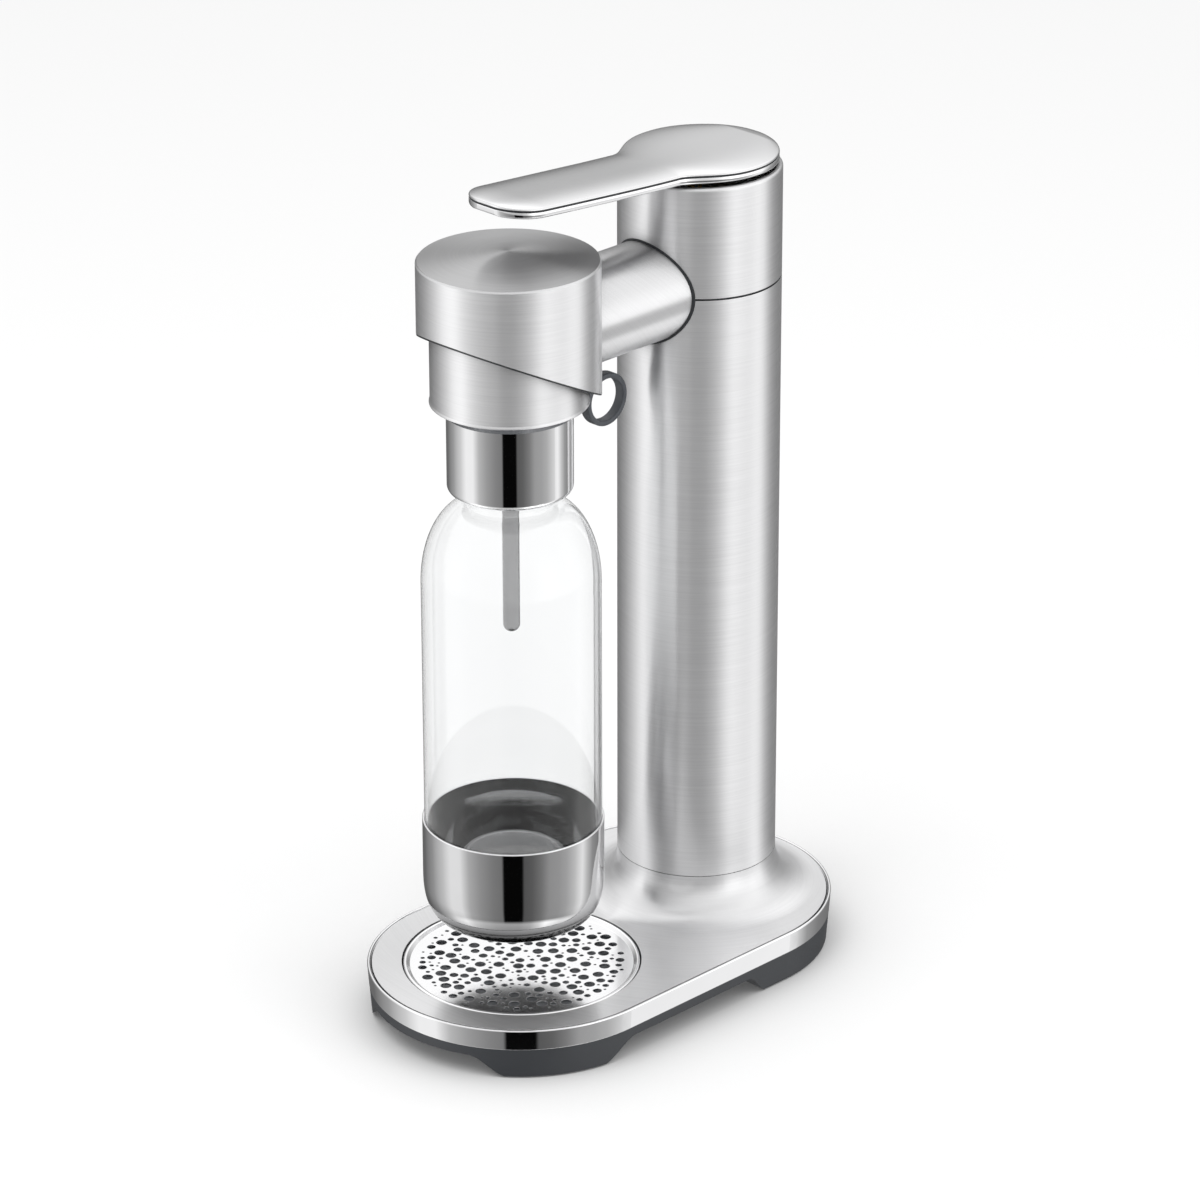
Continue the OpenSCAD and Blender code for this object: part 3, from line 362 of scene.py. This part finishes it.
FINISHES = {
    "graphite": ["cap_bevel", "release_ring"],
    "pan": ["base_pan"],
    "cup_grey": ["drip_cup"],
    "black": ["head_core", "cap_core", "column_seam_ring", "lever_gasket", "neck_gasket"],
    "rubber": ["rubber_feet", "cylinder_pad", "valve_seal", "nozzle_seal", "cap_gasket"],
    "brushed_column": ["column_shell", "rear_cover", "column_top"],
    "brushed_head": ["cap_sleeve", "head_shell"],
    "brushed_plate": ["base_top_plate"],
    "brushed_neck": ["neck_tube"],
    "tray": ["drip_plate"],
    "satin": ["lever_skin"],
    "chrome": ["base_rim", "lever_body", "cap_collar"],
    "wand": ["gas_wand"],
    "chrome_with_painted_shade": ["bottle_cup"],
    "zinc": ["base_screws", "push_rod", "rod_spring", "lever_pin", "pin_clips", "rocker", "rocker_pin",
             "release_pin", "base_frame", "valve_bracket"],
    "cast": ["column_frame", "head_arm", "lever_hub"],
    "brass": ["cylinder_valve", "valve_body", "safety_valve", "gas_pipe", "pipe_nut", "gas_nozzle",
              "release_stem"],
    "cylinder": ["cylinder_body"],
    "clear": ["bottle_shell"],
}


for finish, nodes in FINISHES.items():
    for node in nodes:
        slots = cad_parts[node].data.materials
        slots.clear()
        slots.append(MATERIALS[finish])


# Pieces made here in place of CAD nodes, in millimetres until they are added

SHARP = math.radians(38)
ON_AXIS = 1e-4


def add_piece(name, shape, body, finish, slot, *nodes):
    """Adds a smooth-shaded piece that rides on a body and stands for CAD nodes."""
    verts, faces = shape
    mesh = bpy.data.meshes.new(name)
    mesh.from_pydata([(x * MM, y * MM, z * MM) for x, y, z in verts], [], faces)
    work = bmesh.new()
    work.from_mesh(mesh)
    bmesh.ops.recalc_face_normals(work, faces=work.faces)
    work.to_mesh(mesh)
    work.free()
    mesh.shade_smooth()
    mesh.set_sharp_from_angle(angle=SHARP)
    mesh.materials.append(MATERIALS[finish])
    piece = bpy.data.objects.new(name, mesh)
    bpy.context.scene.collection.objects.link(piece)
    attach(piece, body)
    if nodes:
        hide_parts(*nodes)
    return piece


def arc(centre, radii, start, end, steps):
    """Points along part of an ellipse; angles in degrees."""
    turns = [math.radians(start + (end - start) * k / steps) for k in range(steps + 1)]
    return [(centre[0] + radii[0] * math.cos(t), centre[1] + radii[1] * math.sin(t)) for t in turns]


def squared_corner(inner, outer, low, high, power, steps=40):
    """Points up a rounded bottom edge, from a flat bottom to an upright wall."""
    turns = [math.pi / 2 * k / steps for k in range(steps + 1)]
    return [(inner + (outer - inner) * math.sin(t) ** (2 / power),
             low + (high - low) * (1 - math.cos(t) ** (2 / power))) for t in turns]


def revolve(outline, centre, axis="Z", segments=192, closed=False):
    """Turns an outline of (radius, place along the axis) round an axis through the centre."""
    verts, rings, faces = [], [], []
    for radius, along in outline:
        count = segments if radius > ON_AXIS else 1
        rings.append((len(verts), count))
        for k in range(count):
            t = math.tau * k / segments
            first, second = radius * math.cos(t), radius * math.sin(t)
            spot = (first, second, along) if axis == "Z" else (along, first, second)
            verts.append(tuple(a + b for a, b in zip(centre, spot)))
    last = len(rings) if closed else len(rings) - 1
    for k in range(last):
        (a, many), (b, others) = rings[k], rings[(k + 1) % len(rings)]
        for i in range(segments):
            j = (i + 1) % segments
            if many == 1:
                faces.append((a, b + i, b + j))
            elif others == 1:
                faces.append((a + i, a + j, b))
            else:
                faces.append((a + i, a + j, b + j, b + i))
    return verts, faces


def joined(*shapes):
    """Several shapes as one."""
    verts, faces = [], []
    for more, walls in shapes:
        start = len(verts)
        verts += more
        faces += [tuple(start + i for i in wall) for wall in walls]
    return verts, faces


def block(low, high, edge):
    """A block with rounded edges."""
    work = bmesh.new()
    bmesh.ops.create_cube(work, size=1)
    for vert in work.verts:
        vert.co = [(a + b) / 2 + (b - a) * c for a, b, c in zip(low, high, vert.co)]
    bmesh.ops.bevel(work, geom=work.edges[:], offset=edge, segments=3, affect="EDGES", profile=0.5)
    work.verts.index_update()
    shape = ([tuple(v.co) for v in work.verts], [tuple(v.index for v in f.verts) for f in work.faces])
    work.free()
    return shape


def above(axis):
    """A place at height 0 under a node's axis, in millimetres."""
    return (axis[0] / MM, axis[1] / MM, 0)


# Lever: a spoon outline, with each layer's edges rounded

LEVER_REACH = 139.9
LEVER_ARM = 21.85
LEVER_FLARE = -0.48
LEVER_WAIST = 18.15
LEVER_DISC = 36.2
DISC_FRONT = 0.11
DISC_BACK = 1.6
TIP_CORNER = 17.19
TIP_RISE = 9.2
RISE_FROM = 28.56
RISE_BLEND = 22.0
LEVER_STATIONS = 220
LEVER_STEPS = 36
BLEND_POWER = 4
END_GAP = 0.03
LEAST_HALF = 0.05
BAND_TOP = 3.1
LINE_TOP = 4.15
SKIN_EDGE = 4.8
SKIN_CROWN = 1.7


def lever_half(y):
    """Half width of the lever at a place in front of the column's axis."""
    beyond = y + DISC_FRONT if y < -DISC_FRONT else max(0, y - DISC_BACK)
    disc = math.sqrt(max(0, LEVER_DISC ** 2 - beyond ** 2))
    share = min(1, max(0, -(y + DISC_FRONT) / (LEVER_DISC - DISC_FRONT)))
    swell = LEVER_FLARE * (min(0, y + LEVER_DISC + LEVER_WAIST) / LEVER_REACH * 2) ** 2
    arm = (LEVER_ARM + swell) * (1 - math.cos(math.pi * share)) / 2
    left = y + LEVER_REACH
    cut = 0
    if left < TIP_CORNER:
        cut = TIP_CORNER - math.sqrt(max(0, TIP_CORNER ** 2 - (TIP_CORNER - left) ** 2))
    return (disc ** BLEND_POWER + arm ** BLEND_POWER) ** (1 / BLEND_POWER) - cut


def lever_rise(y):
    """How far the lever has risen at a place, level over the column and straight up to its tip."""
    ahead = -(y + RISE_FROM)
    return TIP_RISE / (LEVER_REACH - RISE_FROM) * (ahead + math.sqrt(ahead ** 2 + RISE_BLEND ** 2)) / 2


def rounded_off(depth, radius):
    """How far a rounded edge lies below its face at a distance from the outline."""
    if radius <= 0 or depth >= radius:
        return 0
    return radius - math.sqrt(radius ** 2 - (radius - max(0, depth)) ** 2)


def lever_layer(inset, low, high, crown=0, upper=0, lower=0):
    """One layer between two heights, crowned on top, with its upper and lower edges rounded."""
    verts, faces = [], []
    start, end = -LEVER_REACH + inset + END_GAP, DISC_BACK + LEVER_DISC - inset - END_GAP
    across = [-math.cos(math.pi * i / (LEVER_STEPS - 1)) for i in range(LEVER_STEPS)]
    row = 2 * LEVER_STEPS
    for k in range(LEVER_STATIONS + 1):
        y = start + (end - start) * (1 - math.cos(math.pi * k / LEVER_STATIONS)) / 2
        half = max(LEAST_HALF, lever_half(y) - inset)
        rise = lever_rise(y)
        edge = min(y - start, end - y)
        for s in across:
            depth = min(half * (1 - abs(s)), edge)
            swell = crown * min(1, half / LEVER_ARM) * (1 - s ** 4)
            verts.append((half * s, y, rise + high + swell - rounded_off(depth, upper)))
        for s in reversed(across):
            depth = min(half * (1 - abs(s)), edge)
            verts.append((half * s, y, rise + low + rounded_off(depth, lower)))
        if k:
            for i in range(row):
                a, b = (k - 1) * row + i, (k - 1) * row + (i + 1) % row
                faces.append((a, b, b + row, a + row))
    for first in (0, LEVER_STATIONS * row):
        for i in range(LEVER_STEPS - 1):
            faces.append((first + i, first + i + 1, first + row - 2 - i, first + row - 1 - i))
    x0, y0, _ = above(COLUMN_AXIS)
    return [(x + x0, y + y0, z) for x, y, z in verts], faces


def make_lever():
    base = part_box("lever_body")[0][2] / MM
    skin = lever_layer(0, base + LINE_TOP, base + SKIN_EDGE, crown=SKIN_CROWN, upper=0.6)
    # Painted shade: the black line layer fills the real gap between skin and band, standing in for the shadow
    # in that gap.
    line = lever_layer(0.6, base + BAND_TOP, base + LINE_TOP)
    band = lever_layer(0.05, base, base + BAND_TOP, upper=0.2, lower=1.1)
    add_piece("lever_top_form", skin, "lever", "satin", "satin_steel", "lever_skin")
    add_piece("lever_line_form", line, "lever", "black", "rubber", "lever_gasket")
    add_piece("lever_band_form", band, "lever", "chrome", "chrome", "lever_body")


# Bottle and its foot cup

CUP_R = 43.35
CUP_FLAT = 28.0
CUP_CORNER = 24.0
CUP_POWER = 2.7
CUP_TALL = 51.2
CUP_FLOOR = 1.4
CUP_LIP = 0.35
CUP_INNER_LIP = 0.25
CUP_GAP = 0.04
BOTTLE_R = 42.3
BOTTLE_WALL = 1.5
BOTTLE_SINK = 0.7
SHOULDER_Z = 226.0
SHOULDER_TALL = 39.3
SHOULDER_END = 84
NECK_R = 20.2
NECK_FILLET = 3.5
NECK_FILLET_LOW = 0.6
NECK_FILLET_STEPS = 8
PUNT_RISE = 31.7
PUNT_TOP = 20.5
PUNT_ROUND = 6.0
PUNT_EDGE = 7.5


def make_cup():
    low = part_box("bottle_cup")[0][2] / MM
    high = low + CUP_TALL
    inside = BOTTLE_R + CUP_GAP
    floor = low + CUP_FLOOR
    outline = [(0, low)] + squared_corner(CUP_FLAT, CUP_R, low, low + CUP_CORNER, CUP_POWER)
    outline += arc((CUP_R - CUP_LIP, high - CUP_LIP), (CUP_LIP, CUP_LIP), 0, 90, 6)
    outline += arc((inside + CUP_INNER_LIP, high - CUP_INNER_LIP), (CUP_INNER_LIP, CUP_INNER_LIP), 90, 180, 5)
    outline += squared_corner(CUP_FLAT - 1, inside, floor, floor + CUP_CORNER, CUP_POWER)[::-1]
    outline += [(0, floor)]
    shape = revolve(outline, above(BOTTLE_AXIS))
    cup = add_piece("cup_form", shape, "bottle", "chrome_with_painted_shade", "chrome", "bottle_cup")
    # Outward faces take the chrome with painted shade; inward and upward faces take the plain chrome.
    cup.data.materials.append(MATERIALS["chrome"])
    for face in cup.data.polygons:
        away = [a - b for a, b in zip(face.center[:2], BOTTLE_AXIS)]
        faces_in = away[0] * face.normal[0] + away[1] * face.normal[1] < 0
        if faces_in or face.normal[2] > 0.5:
            face.material_index = 1


def curve(start, knee, end, steps):
    """Points along a curve that leaves its start towards a knee, without the start itself."""
    shares = [k / steps for k in range(1, steps + 1)]
    return [tuple((1 - t) ** 2 * a + 2 * t * (1 - t) * b + t * t * c for a, b, c in zip(start, knee, end))
            for t in shares]


def bottle_side(inset, foot, mouth):
    """One face of the bottle's wall, from its foot to its mouth."""
    neck = NECK_R - inset
    side = squared_corner(CUP_FLAT + 1, BOTTLE_R - inset, foot + inset, foot + CUP_CORNER, CUP_POWER)
    side += arc((NECK_R, SHOULDER_Z), (BOTTLE_R - NECK_R - inset, SHOULDER_TALL - inset), 0, SHOULDER_END, 60)
    top = side[-1]
    side += curve(top, (neck, top[1] + NECK_FILLET_LOW), (neck, top[1] + NECK_FILLET), NECK_FILLET_STEPS)
    return side + [(neck, mouth)]


def make_bottle():
    low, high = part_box("bottle_shell")
    foot, mouth = low[2] / MM - BOTTLE_SINK, high[2] / MM
    punt = foot + PUNT_RISE
    below = punt - BOTTLE_WALL
    under = [(0, below)] + arc((PUNT_TOP, below - PUNT_ROUND), (PUNT_ROUND, PUNT_ROUND), 90, 0, 14)
    over = [(0, punt)] + arc((PUNT_TOP, punt - PUNT_ROUND), (PUNT_EDGE, PUNT_ROUND), 90, 0, 14)
    inner = bottle_side(BOTTLE_WALL, foot, mouth)
    outline = under + bottle_side(0, foot, mouth) + inner[::-1] + over[::-1]
    shape = revolve(outline, above(BOTTLE_AXIS))
    add_piece("bottle_form", shape, "bottle", "clear", "clear_plastic", "bottle_shell")


# Pull ring of the pressure cap, with its eye, its tab and its toe

RING_R = 13.0
RING_T = 2.6
RING_HALF = 2.8
RING_ROUND = 0.7
RING_OUT = 24.6
RING_DOWN = 7.0
EYE_R = 2.4
EYE_BORE = 1.3
EYE_HALF = 3.3
TAB_START = 1.6
TAB_LOW = 2.2
TAB_HIGH = 2.0
TOE_HALF = 1.3
TOE_REACH = 5.4
TOE_T = 1.0


def make_pull_ring():
    low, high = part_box("release_pin")
    y, z = [(a + b) / 2 / MM for a, b in zip(low[1:], high[1:])]
    ring_y = y + RING_OUT
    section = []
    for outward, right, turn in ((1, 1, 0), (0, 1, 90), (0, 0, 180), (1, 0, 270)):
        radius = RING_R - RING_ROUND if outward else RING_R - RING_T + RING_ROUND
        along = RING_HALF - RING_ROUND if right else -RING_HALF + RING_ROUND
        section += arc((radius, along), (RING_ROUND, RING_ROUND), turn, turn + 90, 4)
    eye = [(EYE_R, -EYE_HALF), (EYE_R, EYE_HALF), (EYE_BORE, EYE_HALF), (EYE_BORE, -EYE_HALF)]
    tab_end = ring_y - RING_R + RING_T * 0.7
    shape = joined(
        revolve(section, (0, ring_y, z - RING_DOWN), "X", 96, True),
        revolve(eye, (0, y, z), "X", 48, True),
        block((-RING_HALF, y + TAB_START, z - TAB_LOW), (RING_HALF, tab_end, z + TAB_HIGH), 0.5),
        block((-TOE_HALF, y - TOE_REACH, z - TOE_T), (TOE_HALF, y - TAB_START, z + TOE_T), 0.4),
    )
    add_piece("pull_ring_form", shape, "release_ring", "graphite", "dark_plastic", "release_ring")


# Black ring under the head's slanted edge, standing in for the shadow that the edge casts on the cap: painted
# shade

SHADE_RING_R = 42.45
SHADE_RING_WIDE = 1.3
SHADE_RING_TALL = 0.9
SHADE_RING_SUNK = 0.3
SHADE_RING_CHAMFER = 0.2
SHADE_RING_CLEAR = 0.15
SHADE_RING_SLOPE = math.tan(math.radians(26.4))


def make_head_shade_ring():
    x0, y0, _ = above(BOTTLE_AXIS)
    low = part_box("head_shell")[0][2] / MM
    level = low + SHADE_RING_SLOPE * (SHADE_RING_R + SHADE_RING_CLEAR)
    inside = SHADE_RING_R - SHADE_RING_WIDE
    section = [
        (SHADE_RING_R, SHADE_RING_SUNK), (SHADE_RING_R, -SHADE_RING_TALL + SHADE_RING_CHAMFER), (SHADE_RING_R - SHADE_RING_CHAMFER, -SHADE_RING_TALL),
        (inside, -SHADE_RING_TALL), (inside, SHADE_RING_SUNK),
    ]
    verts, faces = revolve(section, (0, 0, 0), closed=True)
    verts = [(x + x0, y + y0, z + level - SHADE_RING_SLOPE * y) for x, y, z in verts]
    # Painted shade: a black ring where the head's edge shades the cap.
    add_piece("head_shade_ring_form", (verts, faces), "stand", "black", "dark_plastic")


make_lever()
make_head_shade_ring()
make_cup()
make_bottle()
make_pull_ring()


# Studio: a white floor that keeps the shadow and carries painted shadow near the object, soft lamps, and a
# world with soft boxes and a screen.
# Ramps give strengths by angle round the object: 0 is towards the camera, below 0 is to its left.

FLOOR_SIZE = 6.0
FLOOR_DROP = 0.02 * MM
SOFT_BOXES = [
    (-180, 0.14), (-150, 0.16), (-122, 0.40), (-100, 0.85), (-86, 1.35), (-70, 1.55), (-57, 1.05),
    (-42, 0.78), (-25, 0.62), (-8, 0.56), (8, 0.56), (24, 0.72),
    (36, 1.15), (46, 1.75), (60, 1.55), (70, 1.35), (84, 1.45), (97, 1.25), (107, 0.75), (118, 0.40),
    (136, 0.25), (156, 0.20), (180, 0.14),
]
OVERHEAD = [
    (-180, 1.50), (-120, 1.10), (-70, 0.95), (-30, 0.92), (0, 0.92), (40, 0.97), (90, 1.15),
    (130, 1.20), (180, 1.50),
]
SCREEN = [
    (-180, 1.0), (-120, 0.90), (-86, 0.72), (-70, 0.62), (-57, 0.50), (-42, 0.46), (-25, 0.40),
    (-13.4, 0.36), (-12, 0.004), (12, 0.004), (13.4, 0.17), (24, 0.18), (36, 0.19), (46, 0.20),
    (60, 0.25), (84, 0.46), (97, 0.80), (180, 1.0),
]
SCREEN_HEIGHT = -0.44
SCREEN_REACH = 0.17
SCREEN_SOFT = 0.06
OVERHEAD_FROM = 0.75
FLOOR_PAINTED_SHADOW = (0.46, 0.46, 0.46)
FLOOR_OPEN = (0.8, 0.8, 0.8)
FLOOR_REACH = 0.09
FLOOR_GLOW = 0.06
LAMP_AIM = 0.2


def fill_ramp(ramp, stops):
    """Sets a ramp over a full turn to the given angles and strengths."""
    while len(ramp.elements) > 1:
        ramp.elements.remove(ramp.elements[-1])
    for k, (angle, strength) in enumerate(stops):
        place = angle / 360 + 0.5
        stop = ramp.elements[0] if k == 0 else ramp.elements.new(place)
        stop.position = place
        stop.color = (strength, strength, strength, 1)


def window(tree, value, centre, reach, soft):
    """1 where a value is within reach of a centre, 0 beyond it."""
    away = tree.nodes.new("ShaderNodeMath")
    away.operation = "SUBTRACT"
    away.inputs[1].default_value = centre
    tree.links.new(value, away.inputs[0])
    size = tree.nodes.new("ShaderNodeMath")
    size.operation = "ABSOLUTE"
    tree.links.new(away.outputs["Value"], size.inputs[0])
    inside = tree.nodes.new("ShaderNodeMapRange")
    for key, number in (("From Min", reach), ("From Max", reach + soft), ("To Min", 1.0), ("To Max", 0.0)):
        inside.inputs[key].default_value = number
    tree.links.new(size.outputs["Value"], inside.inputs["Value"])
    return inside.outputs["Result"]


def screened(tree, share, height, light):
    """Light behind a screen low round the front, which gives polished walls a dark stripe and sides."""
    screen = tree.nodes.new("ShaderNodeValToRGB")
    fill_ramp(screen.color_ramp, SCREEN)
    tree.links.new(share, screen.inputs["Fac"])
    through = tree.nodes.new("ShaderNodeMix")
    through.data_type = "RGBA"
    through.blend_type = "MULTIPLY"
    band = window(tree, height, SCREEN_HEIGHT, SCREEN_REACH, SCREEN_SOFT)
    tree.links.new(band, through.inputs["Factor"])
    tree.links.new(light, through.inputs["A"])
    tree.links.new(screen.outputs["Color"], through.inputs["B"])
    return through.outputs["Result"]


def make_world():
    world = bpy.data.worlds.new("studio")
    bpy.context.scene.world = world
    world.use_nodes = True
    tree = world.node_tree
    new = tree.nodes.new
    link = tree.links.new
    plain = tree.nodes["Background"]
    plain.inputs["Color"].default_value = (1, 1, 1, 1)
    plain.inputs["Strength"].default_value = 1.0
    direction = new("ShaderNodeTexCoord")
    turned = new("ShaderNodeVectorRotate")
    turned.rotation_type = "Z_AXIS"
    turned.inputs["Angle"].default_value = math.pi / 2 - CAMERA_AZIMUTH
    link(direction.outputs["Generated"], turned.inputs["Vector"])
    parts = new("ShaderNodeSeparateXYZ")
    link(turned.outputs["Vector"], parts.inputs["Vector"])
    angle = new("ShaderNodeMath")
    angle.operation = "ARCTAN2"
    link(parts.outputs["Y"], angle.inputs[0])
    link(parts.outputs["X"], angle.inputs[1])
    share = new("ShaderNodeMapRange")
    share.inputs["From Min"].default_value = -math.pi
    share.inputs["From Max"].default_value = math.pi
    link(angle.outputs["Value"], share.inputs["Value"])
    boxes = new("ShaderNodeValToRGB")
    fill_ramp(boxes.color_ramp, SOFT_BOXES)
    top = new("ShaderNodeValToRGB")
    fill_ramp(top.color_ramp, OVERHEAD)
    link(share.outputs["Result"], boxes.inputs["Fac"])
    link(share.outputs["Result"], top.inputs["Fac"])
    height = new("ShaderNodeMapRange")
    height.interpolation_type = "SMOOTHSTEP"
    height.inputs["From Min"].default_value = 0.0
    height.inputs["From Max"].default_value = OVERHEAD_FROM
    link(parts.outputs["Z"], height.inputs["Value"])
    mix = new("ShaderNodeMix")
    mix.data_type = "RGBA"
    link(height.outputs["Result"], mix.inputs["Factor"])
    link(boxes.outputs["Color"], mix.inputs["A"])
    link(top.outputs["Color"], mix.inputs["B"])
    studio = new("ShaderNodeBackground")
    light = screened(tree, share.outputs["Result"], parts.outputs["Z"], mix.outputs["Result"])
    link(light, studio.inputs["Color"])
    choice = new("ShaderNodeMixShader")
    link(mirror_ray(tree), choice.inputs["Fac"])
    link(plain.outputs["Background"], choice.inputs[1])
    link(studio.outputs["Background"], choice.inputs[2])
    link(choice.outputs["Shader"], tree.nodes["World Output"].inputs["Surface"])
    world.cycles.sampling_method = "NONE"


def make_floor():
    half = FLOOR_SIZE / 2
    mesh = bpy.data.meshes.new("floor")
    corners = [(-half, -half), (half, -half), (half, half), (-half, half)]
    mesh.from_pydata([(x, y, -FLOOR_DROP) for x, y in corners], [], [(0, 1, 2, 3)])
    floor = bpy.data.objects.new("floor", mesh)
    bpy.context.scene.collection.objects.link(floor)
    n = Nodes("white floor")
    n.set(Roughness=1.0)
    # Painted shadow: the floor's colour darkens where the object stands near.
    near = n.add("ShaderNodeAmbientOcclusion", samples=8, Distance=FLOOR_REACH)
    n.tint(near.outputs["AO"], FLOOR_PAINTED_SHADOW, FLOOR_OPEN)
    n.shader.inputs["Specular IOR Level"].default_value = 0.0
    n.shader.inputs["Emission Color"].default_value = (1, 1, 1, 1)
    n.shader.inputs["Emission Strength"].default_value = FLOOR_GLOW
    air = n.add("ShaderNodeBsdfTransparent")
    white = n.add("ShaderNodeEmission", Strength=1.0)
    path = n.add("ShaderNodeLightPath")
    through = n.add("ShaderNodeMixShader")
    n.link(path.outputs["Is Transmission Ray"], through.inputs["Fac"])
    n.link(n.shader.outputs["BSDF"], through.inputs[1])
    n.link(white.outputs["Emission"], through.inputs[2])
    mirrored = n.add("ShaderNodeMixShader")
    n.link(mirror_ray(n.tree), mirrored.inputs["Fac"])
    n.link(through.outputs["Shader"], mirrored.inputs[1])
    n.link(air.outputs["BSDF"], mirrored.inputs[2])
    n.link(mirrored.outputs["Shader"], n.tree.nodes["Material Output"].inputs["Surface"])
    mesh.materials.append(n.material)


def make_lamp(name, azimuth, elevation, distance, size, power):
    """Soft square lamp that looks at the object; metals see the world's soft boxes instead of it."""
    data = bpy.data.lights.new(name, "AREA")
    data.size = size
    data.energy = power
    lamp = bpy.data.objects.new(name, data)
    bpy.context.scene.collection.objects.link(lamp)
    lamp.matrix_world = (
        Matrix.Translation((0, 0, LAMP_AIM))
        @ Matrix.Rotation(math.radians(azimuth), 4, "Z")
        @ Matrix.Rotation(math.radians(90 - elevation), 4, "X")
        @ Matrix.Translation((0, 0, distance))
    )
    lamp.visible_glossy = False
    lamp.visible_transmission = False
    lamp.visible_camera = False


make_world()
make_floor()
make_lamp("key", 0, 60, 2.0, 1.2, 12)
make_lamp("fill", 110, 45, 2.0, 1.2, 6)

scene = bpy.context.scene
scene.view_settings.view_transform = "Standard"
